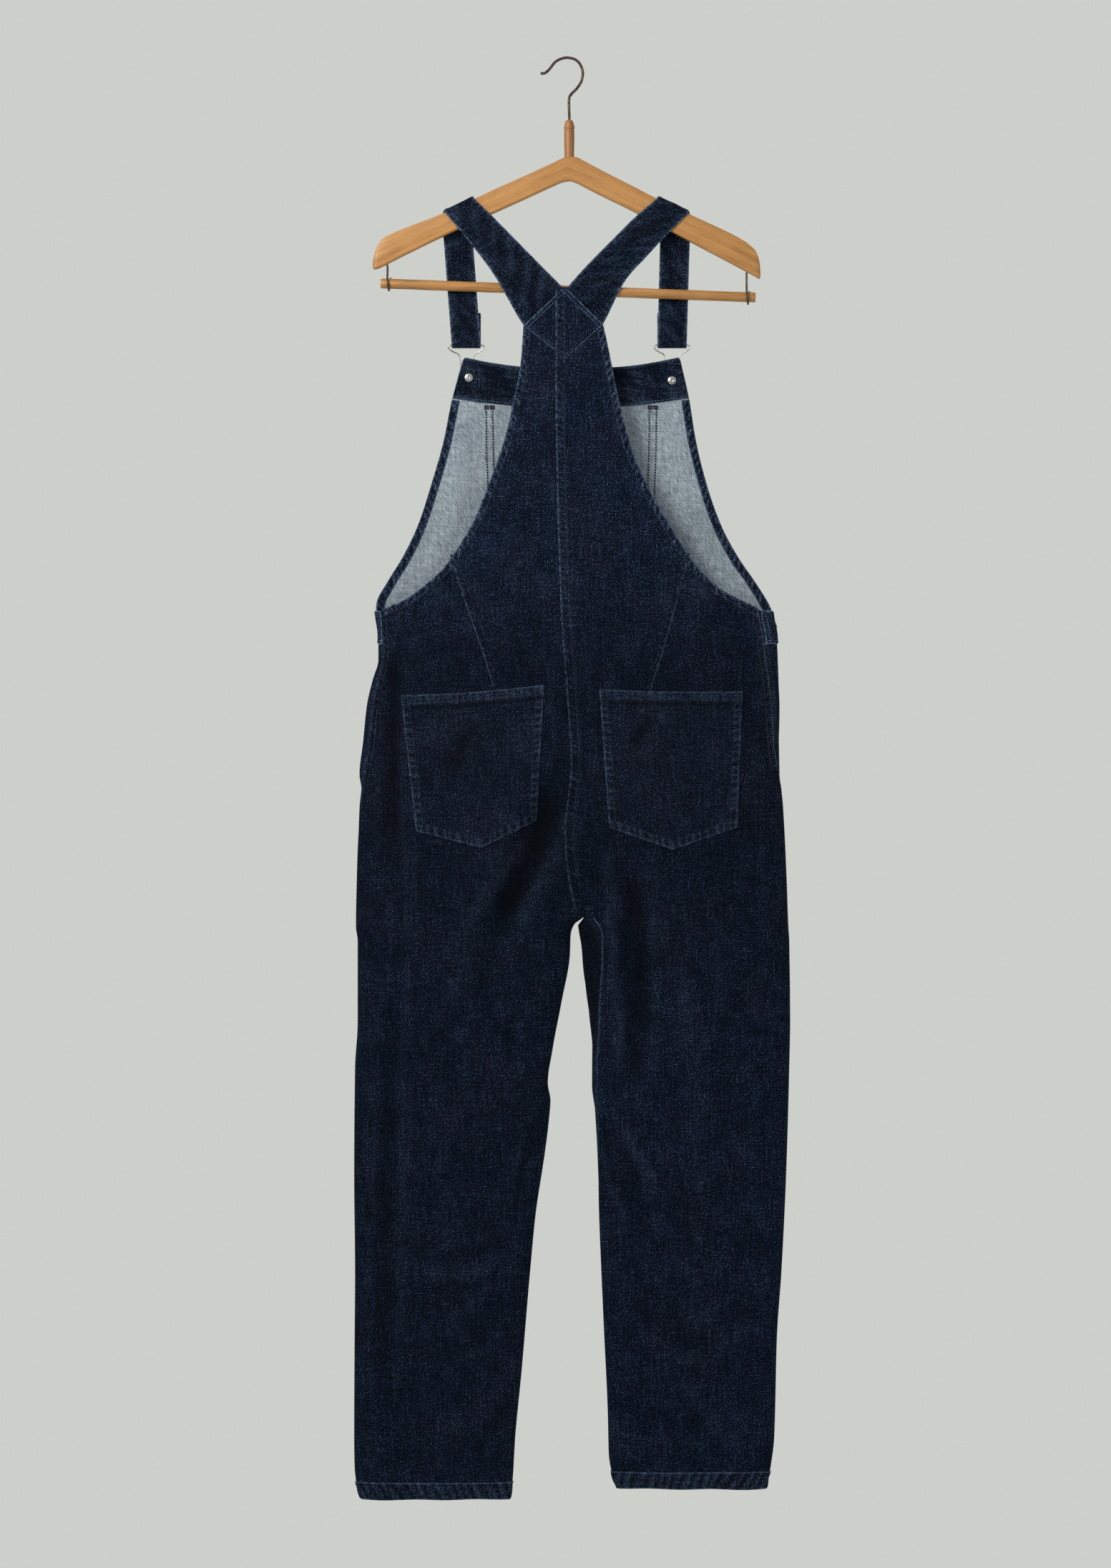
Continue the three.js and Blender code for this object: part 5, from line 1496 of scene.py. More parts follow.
@dataclass
class BodyPanel(Part):
    """One of the four long panels of the body, cut in one piece from its top to the trouser hem."""

    side: Side
    face: Face
    lengths: tuple[str, ...]
    cell: float
    plumb: float = 125

    def cloth(self) -> Cloth:
        """Lay the panel on the form, with its columns spaced along the cloth and closer at its turned edges.

        Returns:
            The panel's grid.
        """
        top = YOKE_TOP_Z if self.face is Face.BACK else WAIST_Z - BAND_HEIGHT - GAP
        foot = HEM_Z[self.side] + HEM_HEIGHT - 5
        z = np.linspace(top, foot, int((top - foot) / self.cell) + 1)
        s = np.linspace(0, 1, 129)
        x, y = self.form.bare(self.side, self.face, s[None, :], z[:, None])
        step = np.hypot(np.diff(x, axis=1), np.diff(y, axis=1))
        run = np.concatenate([np.zeros((len(z), 1)), np.cumsum(step, axis=1)], axis=1)
        t = np.linspace(0, 1, int(run[:, -1].max() / self.cell) + 1)
        places = np.empty((len(z), len(t)))
        for i, gone in enumerate(run):
            start = np.interp(SEAM, gone, s)
            even = np.interp(SEAM + t * (gone[-1] - 2 * SEAM), gone, s)
            places[i] = even + (start + t * (1 - 2 * start) - even) * TURN_CELLS
        points = self.form.folded(*self.form.bare(self.side, self.face, places, z[:, None]), z[:, None])
        core = np.stack(np.broadcast_arrays(self.side.sign * 60.0, 0.0, z), axis=-1)[:, None, :]
        return Cloth.laid(points, core, self.side.sign * self.plumb)

    def build(self) -> None:
        """Make the panel's wall with its rubbed ridges, painted shade in its hollows and a tone painted darker by
        height.
        """
        cloth = self.cloth()
        x, z = cloth.points[..., 0], cloth.points[..., 2]
        relief = self.form.relief(self.face, x, z)
        ridge = relief - softened(relief, max(2, int(11 / self.cell)))
        wear = 0.07 * np.clip(ridge / 0.9, 0, 1)
        wear[:, [0, -1]] += 0.1
        # Painted shade in the troughs of the folds and creases.
        painted_hollow_shade = np.clip((-relief - 1.5) / 9, 0, 1) ** 0.8 + 0.25 * np.clip(-ridge / 1.5, 0, 1)
        # The left leg is painted a little darker than the right.
        leg = 0.05 * smooth((-z - 960) / 120) * -self.side.sign
        darkening_and_painted_shadow = darkening_by_height(z) + leg if self.face is Face.BACK else FRONT_DARKENING + 0 * z
        if self.face is Face.FRONT and self.side is Side.RIGHT:
            # Below the crotch the right leg's front turns round to the back, deep in the fold, and is painted dark
            # there as a painted shadow.
            darkening_and_painted_shadow = darkening_and_painted_shadow + 0.6 * smooth((50 - x) / 12) * smooth((z + 1170) / 120) * smooth((-962 - z) / 10)
        finishes = [self.shop.finishes.denim, self.shop.finishes.inside]
        name = f"{self.face.value}_{self.side.value}"
        piece = wall(name, cloth, -CLOTH, 0, finishes, wear, 0.5 * painted_hollow_shade + darkening_and_painted_shadow, mitre=0.9)
        self.shop.keep(name, piece, *[f"{name}_{length}" for length in self.lengths], cloth=cloth)


@dataclass
class TrouserHem(Part):
    """The turned hem round one leg, whose two layers pull askew and rope when washed."""

    side: Side
    rise: float = 1.0
    rope: float = 0.42
    pitch: float = 11.5

    def build(self) -> None:
        """Make the closed, roped band and its row of stitches."""
        form, seed = self.form, self.side.pick(31, 37)
        drop = np.array([0, 0.9, 2.2, 4, 6, 8, 10, 12, 14, 16, 18, 19.3, 20.0])[:, None]
        angle = np.linspace(0, 2 * math.pi, 250)[:-1]
        z = HEM_Z[self.side] + HEM_HEIGHT - drop + 0 * angle
        ring = form.leg(self.side, z)
        x, y = form.on_ring(ring, self.side.sign, angle[None, :] + 0 * z)
        steps = np.hypot(np.diff(x[0], append=x[0, 0]), np.diff(y[0], append=y[0, 0]))
        run, girth = np.concatenate([[0], np.cumsum(steps)[:-1]]), steps.sum()
        pitch = girth / round(girth / self.pitch)
        sway = 0.9 * puckers(run, girth, seed) + 0.5 * puckers(5 * run, girth, 2)
        points = form.folded(x, y, z + sway * (drop / HEM_HEIGHT) ** 2)
        uneven = puckers(3 * run, girth, 1) + 0.8 * puckers(7 * run, girth, 4)
        rope = puckers(run - 0.45 * drop, pitch, 1.5 * uneven)
        rope = rope + 0.5 * puckers(2 * run - 0.7 * drop, pitch, 2.7 * uneven)
        edges = smooth(drop / 1.5) * smooth((HEM_HEIGHT - drop) / 1.8)
        far = self.rise * (0.45 + 0.55 * edges) + self.rope * rope * edges
        wear = 0.02 + 0.17 * np.clip(rope, 0, 1.3) + 0.4 * (drop > 19.2) + 0.2 * (drop < 1)
        core = np.stack(np.broadcast_arrays(ring.middle[:, :1], 0.0, points[:, :1, 2]), axis=-1)
        cloth = Cloth.laid(points, core)
        cloth.flat = np.stack(np.broadcast_arrays(run, -drop), axis=-1)
        # Painted shade in the rope's troughs, over an even darker tone.
        name, shade = f"hem_{self.side.value}", 0.2 + 0.3 * np.clip(-rope, 0, 1)
        finishes = [self.shop.finishes.hem] * 2
        piece = wall(name, cloth, -CLOTH - 0.9, far, finishes, wear, shade, joined=True, grain=(0, seed))
        on, out = (np.vstack([v[1], v[1][:1]]) for v in (cloth.points, cloth.normals))
        self.shop.stitching.row(Thread.PALE, on + out * (self.rise + 0.15), out)
        self.shop.keep(name, piece)


@dataclass
class BackSeams(Part):
    """The felled centre seam, the armhole hems, the yoke, the darts and the side openings' edges on the back."""

    fell_width: float = 11.0
    armhole_width: float = 8.2

    def trims(self) -> list[Trim]:
        """List every strip that is sewn on the back.

        Returns:
            The strips, from the centre outwards and down.
        """
        form, (tonal, pale, navy) = self.form, Thread
        levels = np.linspace(-263, -966, 60)
        fell = [(float(form.centre[Face.BACK](z)) - self.fell_width / 2 + 0.7, z) for z in levels]
        rows = [
            Trim("centre_back_fell", fell, self.fell_width, 0.7, 0.2, 7.6, 0.5, (0.12, 0.5), 0.2,
                 rows=((-4.0, tonal), (3.6, tonal)), seed=3),
        ]
        for side in Side:
            edge = [(float(form.armhole[side](z)), z) for z in np.linspace(-306, -625.5, 40)]
            path = beside(rounded(edge, 4), -side.sign * (self.armhole_width / 2 + 0.15))
            # A downward path has the garment's left half on its right-hand side.
            rows.append(Trim(f"armhole_hem_{side.value}", path, self.armhole_width, 0.75, 0.36, 9.2, -side.sign,
                             side.pick((0.15, 0.7), (0.7, 0.15)), 0.5, rows=((side.sign * 2.9, tonal),),
                             seed=side.pick(5, 6)))
        for side in Side:
            top, corner, foot = YOKE[side]
            edge = beside(rounded((top, corner), 2.4), -side.sign * 3.1)
            rows.append(Trim(f"yoke_edge_{side.value}", edge, 6.0, 0.55, 0.12, 7, 0.3,
                             side.pick((0.15, 1.0), (1.0, 0.15)), 0.1,
                             rows=((-side.sign * 1.6, tonal), (side.sign * 1.6, pale)), seed=8))
            rows.append(Trim(f"yoke_foot_{side.value}", rounded((corner, foot), 2.4), 1.7, 0.32, 0.05, 6, 0,
                             (0.2, 0.2), 0.2, rows=((-2.6, tonal), (0, pale)), seed=9))
        for side, path in DARTS.items():
            rows.append(Trim(f"dart_{side.value}", beside(rounded(path, 2.2), side.sign * 3.0), 6.2, 0.62, 0.2, 8.5,
                             0.9, side.pick((0.0, 0.5), (0.5, 0.0)), 0.15, fall=side.pick((0.15, 1), (1, 0.15)),
                             rows=((side.sign * -2.0, tonal),), seed=12))
        left, right = (rounded(OPENING_EDGES[side], 2.4) for side in Side)
        rows.append(Trim("side_edge_left", beside(left, 3.6), 7.4, 0.6, 0.22, 9, 0.8, (0.05, 0.3), 0.15,
                         rows=((1.9, tonal), (-2.4, tonal)), seed=14))
        rows.append(Trim("side_edge_right", beside(right, -4.6), 8.6, 0.7, 0.22, 9, -0.8, (0.35, 0.05), 0.15,
                         rows=((-2.9, pale), (-0.6, tonal), (3.0, navy)), seed=15))
        rows.append(Trim("inseam_edge_right", INSEAM_EDGE, 2.4, 0.35, 0.08, 8, 0, (0.3, 0.1), 0.1,
                         rows=((0, pale),), seed=17))
        rows.append(Trim("crotch_tack", ((3, -968), (17, -969), (31, -967.5)), 10.0, 0.9, 0.2, 6, 0.5,
                         (0.15, 0.1), 0.15, seed=18))
        return rows

    def over_crotch(self, x: Array, z: Array) -> tuple[Array, Array]:
        """Carry the back's surface a little below the crotch, where the fell's end hangs over.

        Args:
            x: places across.
            z: heights.

        Returns:
            The points, and their outward directions.
        """
        on, out = self.form.on_back(x, np.maximum(z, -967.0))
        return np.concatenate([on[..., :2], np.broadcast_to(z, on.shape[:-1])[..., None]], axis=-1), out

    def build(self) -> None:
        """Make them all."""
        for trim in self.trims():
            trim.make(self.shop, self.over_crotch if trim.name == "crotch_tack" else self.form.on_back)


@dataclass
class PatchPocket(Part):
    """A patch pocket on the seat: turned edges all round, a double-stitched hem and a pointed foot."""

    side: Side
    hem: float = 12.0
    turning: float = 9.2
    lift: float = 0.45
    rise: float = 1.1

    def grid(self) -> tuple[Array, Array, Array, Array, Array]:
        """Spread the pocket's outline over a grid.

        Returns:
            X and Z, and each place's distances from the left and right edges, the top, and the foot.
        """
        outline = np.asarray(POCKETS[self.side], float)
        near, size = np.array([0, 0.7, 1.7, 3.2]), 160
        u = v = np.concatenate([near, np.linspace(5, size - 5, 66), size - near[::-1]]) / size
        # The top's middle corner isn't half-way across, so its height is read at the true place.
        across = outline[0, 0] + u * (outline[2, 0] - outline[0, 0])
        top = np.interp(across, outline[:3, 0], outline[:3, 1]) - 1.6 * np.sin(math.pi * u)
        top = np.stack([across, top], axis=-1)
        foot = np.stack([np.interp(u, [0, 0.5, 1], outline[[5, 4, 3], k]) for k in (0, 1)], axis=-1)
        left = outline[0] + v[:, None] * (outline[5] - outline[0])
        right = outline[2] + v[:, None] * (outline[3] - outline[2])
        uu, vv = u[None, :, None], v[:, None, None]
        spread = (1 - vv) * top[None] + vv * foot[None] + (1 - uu) * left[:, None] + uu * right[:, None]
        upper = (1 - uu) * (1 - vv) * top[0] + uu * (1 - vv) * top[-1]
        xz = spread - (upper + (1 - uu) * vv * foot[0] + uu * vv * foot[-1])
        width = np.linalg.norm(xz[:, -1] - xz[:, 0], axis=-1)[:, None]
        height = np.linalg.norm(xz[-1] - xz[0], axis=-1)[None, :]
        return xz, u[None, :] * width, (1 - u)[None, :] * width, v[:, None] * height, (1 - v)[:, None] * height * 0.87

    def build(self) -> None:
        """Make the pocket with its turnings, puckers, creases and rows of stitches."""
        xz, left, right, top, foot = self.grid()
        x, z = xz[..., 0], xz[..., 1]
        seed = self.side.pick(41, 47)
        sides = np.minimum(left, right)
        rim = np.minimum(sides, foot)
        along = np.where(foot <= sides, x, z)
        squares = puckers(along, 8.3, 1.6 * wave(seed, 30, along, parts=4) + 0.12 * rim)
        band = smooth((self.turning + 1.2 - rim) / 2.4)
        in_hem = smooth((self.hem + 0.8 - top) / 1.4)
        ripples = puckers(x, 9.6, 1.7 * wave(seed + 1, 34, x, parts=4) + 0.1 * z)
        creases = sum(Fold.through(*row).moved(x, z) for row in POCKET_CREASES[self.side])
        body = 0.22 * wave(seed + 2, 48, x, z, parts=6) + 0.1 * wave(seed + 3, 14, x, z, parts=7)
        relief = (creases + body) * smooth(rim / 16) * smooth((top - 10) / 14)
        # The cloth just under the hem and inside the turnings is drawn in by the stitches.
        drawn = 0.35 * np.exp(-(((top - self.hem - 3) / 3) ** 2))
        drawn = drawn + 0.22 * np.exp(-(((rim - self.turning - 3) / 3) ** 2))
        round_over = 0.35 + 0.65 * smooth(np.minimum(rim, top) / 1.4)
        far = self.lift + (self.rise + 0.45 * band + 0.55 * in_hem) * round_over + relief - drawn
        far = far + 0.2 * squares * band * smooth(rim / 2.2) * (1 - in_hem) + 0.17 * ripples * in_hem * smooth(top / 2)
        patchy = 0.8 + 0.4 * wave(seed + 4, 12, x, z, parts=5)
        wear = patchy * (0.7 * (rim < 0.8) + 0.12 * ((rim >= 0.8) & (rim < 2.0)) + 0.55 * (top < 0.8))
        wear = wear + 0.24 * np.clip(squares, 0, 1) * band * (1 - in_hem)
        wear = wear + 0.12 * in_hem * (0.4 + np.clip(ripples, 0, 1)) + 0.04 * np.clip(relief / 0.8, 0, 1) + 0.01
        # Painted shade in the creases and in the puckered turnings' troughs, a painted shadow just under the hem, and
        # the darker tone by height.
        shade = 0.35 * np.clip(-relief / 1.6, 0, 1) + 0.4 * np.exp(-(((top - self.hem - 2) / 2.2) ** 2))
        shade = shade + 0.25 * np.clip(-squares, 0, 1) * band * (1 - in_hem) + 0.8 * darkening_by_height(z)
        cloth = Cloth(*self.form.on_back(x, z), xz)
        name = f"back_pocket_{self.side.value}"
        grain = (seed, 3 * seed)
        piece = wall(name, cloth, 0.1, far, [self.shop.finishes.pocket], wear, shade, grain=grain)
        self.stitch()
        self.shop.keep(name, piece, name, cloth=cloth)

    def stitch(self) -> None:
        """Lay two rows round the pocket and two along its hem."""
        outline = np.asarray(POCKETS[self.side], float)
        for distance, height in ((2.0, 1.95), (8.2, 1.98)):
            self.shop.stitch(Thread.TONAL, self.form.on_back, beside(outline[[0, 5, 4, 3, 2]], distance), height)
        for distance, height in ((2.0, 2.15), (10.4, 2.2)):
            line = beside(outline[[0, 1, 2]], -distance)
            line[[0, -1], 0] += (1.5, -1.5)
            self.shop.stitch(Thread.TONAL, self.form.on_back, line, height)


@dataclass
class Bib(Part):
    """The bib at the garment's front, of which the inside shows between the armholes."""

    height: float = 289.0
    band: float = 46.0
    facing: float = 9.0
    pocket: tuple[float, float, float, float, float] = (-90, 99, -398, -528, -545)

    def place(self, s: Array, drop: Array, corner: float = 0, cut: float = 0, fade: Array | float = 0) -> Array:
        """Find the bib's outer face.

        Args:
            s: nought at its left edge and one at its right.
            drop: nought at its top and one at its foot.
            corner: the share of the width over which the top corners are rounded.
            cut: how far the corners drop, in millimetres.
            fade: how much of the rounding each row keeps.

        Returns:
            The points.
        """
        if corner:
            past = np.clip((corner - np.minimum(s, 1 - s)) / corner, 0, 1)
            s, drop = s + 0 * drop, drop + cut / self.height * (1 - np.sqrt(1 - past**2)) * fade
        dip = BIB_TOP_DIP * np.sin(math.pi * s) * (1 - drop)
        z = BIB_TOP_Z + (WAIST_Z + GAP - BIB_TOP_Z) * drop - dip
        ring = self.form.trunk(z)
        left, right = (-angle_at((self.form.bib_edge[side](z) - ring.middle) / ring.half) for side in Side)
        x, y = self.form.on_ring(ring, 1, left + (right - left) * s)
        return self.form.folded(x, y, z + 0 * x)

    def build(self) -> None:
        """Make the bib's shell with its facings, its pocket and its rows of stitches."""
        s = np.linspace(0, 1, 96)[None, :]
        drop = np.linspace(0, 1, 82)[:, None]
        points = self.place(s, drop, 0.017, 4, (1 - drop) ** 2)
        core = np.stack(np.broadcast_arrays(0.0, 0.0, np.linspace(-340, -620, 82)), axis=-1)[:, None, :]
        cloth = Cloth.laid(points, core, 4)
        relief = self.form.relief(Face.FRONT, points[..., 0], points[..., 2])
        wear = 0.3 * np.clip((relief - softened(relief, 3)) / 0.9, 0, 1) + 0.05
        wear[:, [0, -1]] += 0.4
        wear[0] += 0.5
        # Painted shade in the inside's hollows, where the front bulges out.
        shade = 0.5 * np.clip((relief - 1.2) / 6, 0, 1)
        finishes = [self.shop.finishes.denim, self.shop.finishes.inside]
        piece = wall("bib", cloth, -CLOTH, 0, finishes, wear, shade, grain=(510, 40))
        self.shop.keep("bib", piece, "bib", cloth=cloth)
        self.top_band()
        self.side_facings()
        self.chest_pocket()
        self.inner_rows()

    def top_band(self) -> None:
        """Make the band of outer denim that is turned over the bib's top edge to its inside."""
        s = np.concatenate([[0.004, 0.008], np.linspace(0.016, 0.984, 90), [0.992, 0.996]])[None, :]
        rows = np.linspace(0.014, 1, 15) * self.band / self.height
        drop = np.concatenate([[0.003, 0.006], rows, [(self.band + 0.7) / self.height]])[:, None]
        points = self.place(s, drop, 0.019, 4.3, (1 - drop / 0.2).clip(0, 1))
        x, z = points[..., 0], points[..., 2]
        _, out = self.form.inside_bib(x, z)
        down = drop * self.height
        foot = self.band - down
        ripple = puckers(x, 9, 1.5 * wave(61, 40, x) + 0.12 * down)
        crumple = 0.55 * wave(62, 40, x, z) + 0.45 * wave(63, 15, x + z, 1.6 * z)
        far = CLOTH + 0.2 + 1.15 * (0.45 + 0.55 * smooth(foot / 1.5) * smooth(down / 1.5)) + crumple
        far = far + 0.2 * ripple * (smooth((9 - foot) / 5) * smooth(foot / 1.5) + smooth((9 - down) / 5))
        wear = 0.3 * (foot < 0.9) + 0.5 * (down < 1.2) + 0.14 * np.clip(ripple, 0, 1) * smooth((10 - foot) / 4)
        wear = wear + 0.2 * np.clip(crumple, 0, 1)
        # Painted shade in the crumples' troughs, and the whole band painted a little darker.
        dark = 0.5 * np.clip(-crumple, 0, 1) + 0.24
        cloth = Cloth(points, out, np.stack([x, z], axis=-1))
        finishes = [self.shop.finishes.strap]
        piece = wall("bib_band_facing", cloth, CLOTH + 0.1, far, finishes, wear, dark, grain=(230, 600))
        self.shop.keep("bib_band_facing", piece, "bib_band_facing")
        t = np.linspace(0.02, 0.98, 170)
        for distance, thread in ((2.6, Thread.TONAL), (self.band - 2.0, Thread.PALE), (self.band - 4.6, Thread.TONAL)):
            line = self.place(t, np.full(t.shape, distance / self.height))
            _, out = self.form.inside_bib(line[:, 0], line[:, 2])
            self.shop.stitching.row(thread, line + out * (CLOTH + 1.45), out)

    def side_facings(self) -> None:
        """Make the narrow turned edges along both armhole sides of the bib."""
        levels = np.linspace(BIB_TOP_Z - self.band - 2.5, WAIST_Z - 3, 60)
        for side in Side:
            edge = np.stack([self.form.bib_edge[side](levels), levels], axis=1)
            path = beside(rounded(edge, 4), -side.sign * (self.facing / 2 + 0.2))
            name = f"bib_side_facing_{side.value}"
            trim = Trim(name, path, self.facing, 0.95, 0.3, 9, -side.sign, side.pick((0.5, 0.3), (0.3, 0.5)), 0.6,
                        rows=((side.sign * 2.8, Thread.TONAL),), seed=side.pick(64, 65), nodes=(name,))
            trim.make(self.shop, self.form.inside_bib)

    def chest_pocket(self) -> None:
        """Make the plain patch pocket on the bib's front, which is guessed from its stitches inside."""
        left, right, top, side, point = self.pocket
        u = np.concatenate([[0, 0.006, 0.014], np.linspace(0.03, 0.97, 50), [0.986, 0.994, 1]])[None, :]
        v = np.concatenate([[0, 0.008, 0.018], np.linspace(0.04, 0.96, 40), [0.982, 0.992, 1]])[:, None]
        x = left + (right - left) * u + 0 * v
        foot = side + (point - side) * (1 - np.abs(2 * u - 1))
        z = top + (foot - top) * v
        rim = np.minimum(np.minimum(x - left, right - x), z - foot)
        down = top - z
        ripple = puckers(np.where(rim < 12, z, x), 8.5, wave(71, 30, x, z))
        band = smooth((10 - rim) / 2.4)
        edge = np.minimum(rim, down)
        far = 0.4 + (1.1 + 0.4 * band + 0.5 * smooth((14.8 - down) / 1.4)) * (0.4 + 0.6 * smooth(edge / 1.5))
        far = far + 0.22 * ripple * band * smooth(rim / 2) + 0.3 * wave(72, 45, x, z) * smooth(edge / 14)
        wear = 0.8 * (edge < 0.6) + 0.3 * np.clip(ripple, 0, 1) * band + 0.06
        cloth = Cloth(*self.form.on_front(x, z), np.stack([x, z], axis=-1))
        piece = wall("bib_pocket", cloth, 0.1, far, [self.shop.finishes.pocket], wear, grain=(90, 300))
        self.shop.keep("bib_pocket", piece, "bib_pocket", cloth=cloth)
        middle = (left + right) / 2
        corners = np.array([(left, top - 1), (left, side), (middle, point), (right, side), (right, top - 1)])
        for inset in (2.2, 8.4):
            self.shop.stitch(Thread.TONAL, self.form.on_front, beside(corners, inset), 1.95)
        for fall in (2.4, 12.2):
            line = np.array([(left + 2, top - fall), (right - 2, top - fall)])
            self.shop.stitch(Thread.TONAL, self.form.on_front, line, 2.0)

    def inner_rows(self) -> None:
        """Lay the pocket's rows that come through to the bib's inside, with a bar tack at each corner."""
        for path in BIB_POCKET_ROWS:
            self.shop.stitch(Thread.NAVY, self.form.inside_bib, path, 0.8)
        for x in (-88.7, 97.5):
            for z in -392.5 - 1.1 * np.arange(4):
                self.shop.stitch(Thread.NAVY, self.form.inside_bib, ((x - 4.8, z), (x + 4.8, z)), 1.0, 0.9)


@dataclass
class FrontWaistband(Part):
    """The waistband across the front, whose two ends come round to the back beside the hips."""

    rise: float = 0.8

    def build(self) -> None:
        """Make the band's thick wall with a row of stitches along each edge."""
        form, trim = self.form, 0.001
        deep = BAND_HEIGHT - GAP
        down = np.concatenate([[0, 0.7, 1.8, 3.4], np.linspace(5.5, 32, 10), [34.2, 35.8, 36.9, deep]])[:, None]
        share = np.concatenate([[0, 0.0015, 0.004], np.linspace(0.008, 0.992, 230), [0.996, 0.9985, 1]])
        z = WAIST_Z - GAP - down
        ring = form.trunk(z)
        left, right = (angle_at(1 - form.body[f"seam_{side.value}"](z) / ring.half) for side in Side)
        start = -math.pi - left
        angle = start + (right - start) * (trim + share * (1 - 2 * trim))
        x, y = form.on_ring(ring, 1, angle)
        core = np.stack(np.broadcast_arrays(0.0, 0.0, z), axis=-1)
        cloth = Cloth.laid(form.folded(x, y, z), core)
        run = cloth.flat[..., 0]
        edge = np.minimum(down, deep - down)
        tip = np.minimum(run, run[:, -1:] - run)
        ripple = puckers(run + 0.8 * down, 9.2, 1.5 * wave(81, 40, run))
        far = 0.45 + (self.rise - 0.1) * smooth(edge / 1.6) * smooth(tip / 1.6)
        far = far + 0.22 * ripple * smooth((9 - edge) / 5) * smooth(edge / 2)
        far = far + 0.25 * wave(82, 50, run, down) * smooth(edge / 6)
        wear = 0.7 * (edge < 0.8) + 0.8 * (tip < 0.9) + 0.18 * np.clip(ripple, 0, 1) * smooth((10 - edge) / 5) + 0.03
        finishes = [self.shop.finishes.seam, self.shop.finishes.inside]
        piece = wall("front_waistband", cloth, -CLOTH, far, finishes, wear, grain=(700, 90))
        self.shop.keep("front_waistband", piece, "front_waistband", cloth=cloth)
        # A row runs along each edge, and both ends are boxed with stitches.
        inner, ends = slice(4, -4), slice(3, -3)
        pale = Thread.PALE
        for at, thread in (((3, inner), Thread.TONAL), ((-4, inner), pale), ((ends, 6), pale), ((ends, -7), pale)):
            on, out = cloth.points[at], cloth.normals[at]
            self.shop.stitching.row(thread, on + out * (self.rise + 0.4), out)


@dataclass
class Strap(Part):
    """A shoulder strap: two layers sewn along both edges, over the hanger's arm and down to its clasp."""

    side: Side
    top: Track
    thickness: float = STRAP
    middle_y: float = HANGER_THICKNESS / 2 + GAP + STRAP / 2
    bend: float = 0.9 + GAP + STRAP / 2
    sink: float = 2.0
    crown: float = 5.3

    def stations(self) -> Array:
        """List the strap's two edges from its end under the yoke to the end that is folded at the clasp.

        Returns:
            Rows of the inner and the outer edge's places.
        """
        y = self.middle_y
        rows = [(ix, -y, iz, ox, -y, oz) for ix, iz, ox, oz in STRAP_BACK[self.side]]
        seat, drop, clip = np.asarray(STRAP_FRONT[self.side], float)
        for share in np.arange(13) / 12:
            x = seat + (drop - seat) * share
            z = self.top(x) + self.crown * math.sin(math.pi * share) - self.sink
            at = -y * math.cos(math.pi * share)
            rows.append((x[0], at, z[0], x[1], at, z[1]))
        high = self.top(drop) - self.sink
        for t in (0.2, 0.4, 0.6, 0.8, 1):
            x, z = drop + (clip - drop) * t, high + (CLIP_Z - high) * t
            rows.append((x[0], y, z[0], x[1], y, z[1]))
        turn = math.pi * np.arange(1, 9) / 8
        fold = zip(y + self.bend * (1 - np.cos(turn)), CLIP_Z - self.bend * np.sin(turn))
        for at, z in (*fold, *((y + 2 * self.bend, z) for z in (-314, -305, -296, -287))):
            rows.append((clip[0], at, z, clip[1], at, z))
        return np.asarray(rows, float)

    def build(self) -> None:
        """Make the strap with worn, slightly rolled edges and two rows of stitches."""
        both = rounded(self.stations(), 3.6)
        edge_in, edge_out = both[:, :3], both[:, 3:]
        width = np.linalg.norm(edge_out - edge_in, axis=1)[:, None]
        near = np.array([0, 0.6, 1.6, 3.0, 5.2])
        mid = np.linspace(0.24, 0.76, 6)[None, :] * width
        off = np.hstack([near + 0 * width, mid, width - near[::-1]])
        share = (off / width)[..., None]
        points = edge_in[:, None] * (1 - share) + edge_out[:, None] * share
        cloth = Cloth.laid(points, np.array([0.0, 0.0, -230.0]))
        run = run_along(both)[:, None] / math.sqrt(2)
        rim = np.minimum(off, width - off)
        seed = self.side.pick(91, 95)
        ripple = puckers(run + 0.5 * rim, 8.6, 1.4 * wave(seed, 34, run) + 2 * (off > width / 2))
        free = smooth((run - 70) / 60) * smooth((run[-1] - 40 - run) / 40)
        wrinkle = wave(seed + 4, 19, run - 0.9 * self.side.sign * off, 0.8 * off, parts=7) * smooth(rim / 6)
        sway = (0.35 * wave(seed + 1, 60, run, off) + 0.18 * wrinkle) * free
        half = self.thickness / 2 * (0.45 + 0.55 * smooth(rim / 1.4))
        bulge = 0.16 * ripple * smooth(rim / 1.5) * smooth((8 - rim) / 4)
        wear = (0.8 + 0.4 * wave(seed + 2, 14, run)) * ((rim < 0.8) + 0.25 * ((rim >= 0.8) & (rim < 2.0)))
        wear = wear + 0.16 * np.clip(ripple, 0, 1) * smooth((9 - rim) / 4) + 0.1 * np.clip(wrinkle, 0, 1)
        # Painted shade in the wrinkles' troughs, and the whole strap painted a little darker.
        shade = 0.28 * np.clip(-wrinkle, 0, 1) + 0.24
        cloth.flat = np.stack([off, run + 0 * off], axis=-1)
        name, finishes = f"strap_{self.side.value}", [self.shop.finishes.strap] * 2
        near_face = sway - half - bulge * 0.6
        piece = wall(name, cloth, near_face, half + bulge + sway, finishes, wear, shade, grain=(40 * seed, 60))
        self.shop.keep(name, piece, name, cloth=cloth)
        for column in (3, -4):
            on, out = cloth.points[:, column], cloth.normals[:, column]
            for way in (out, -out):
                self.shop.stitching.row(Thread.TONAL, on + way * (self.thickness / 2 + 0.12), way)
        # Two rows run across the folded end.
        for back in (6.0, 9.0):
            row = int(np.argmin(np.abs(run[:, 0] - (run[-1, 0] - back))))
            on, out = cloth.points[row], cloth.normals[row]
            self.shop.stitching.row(Thread.PALE, on + out * (self.thickness / 2 + 0.15), out)


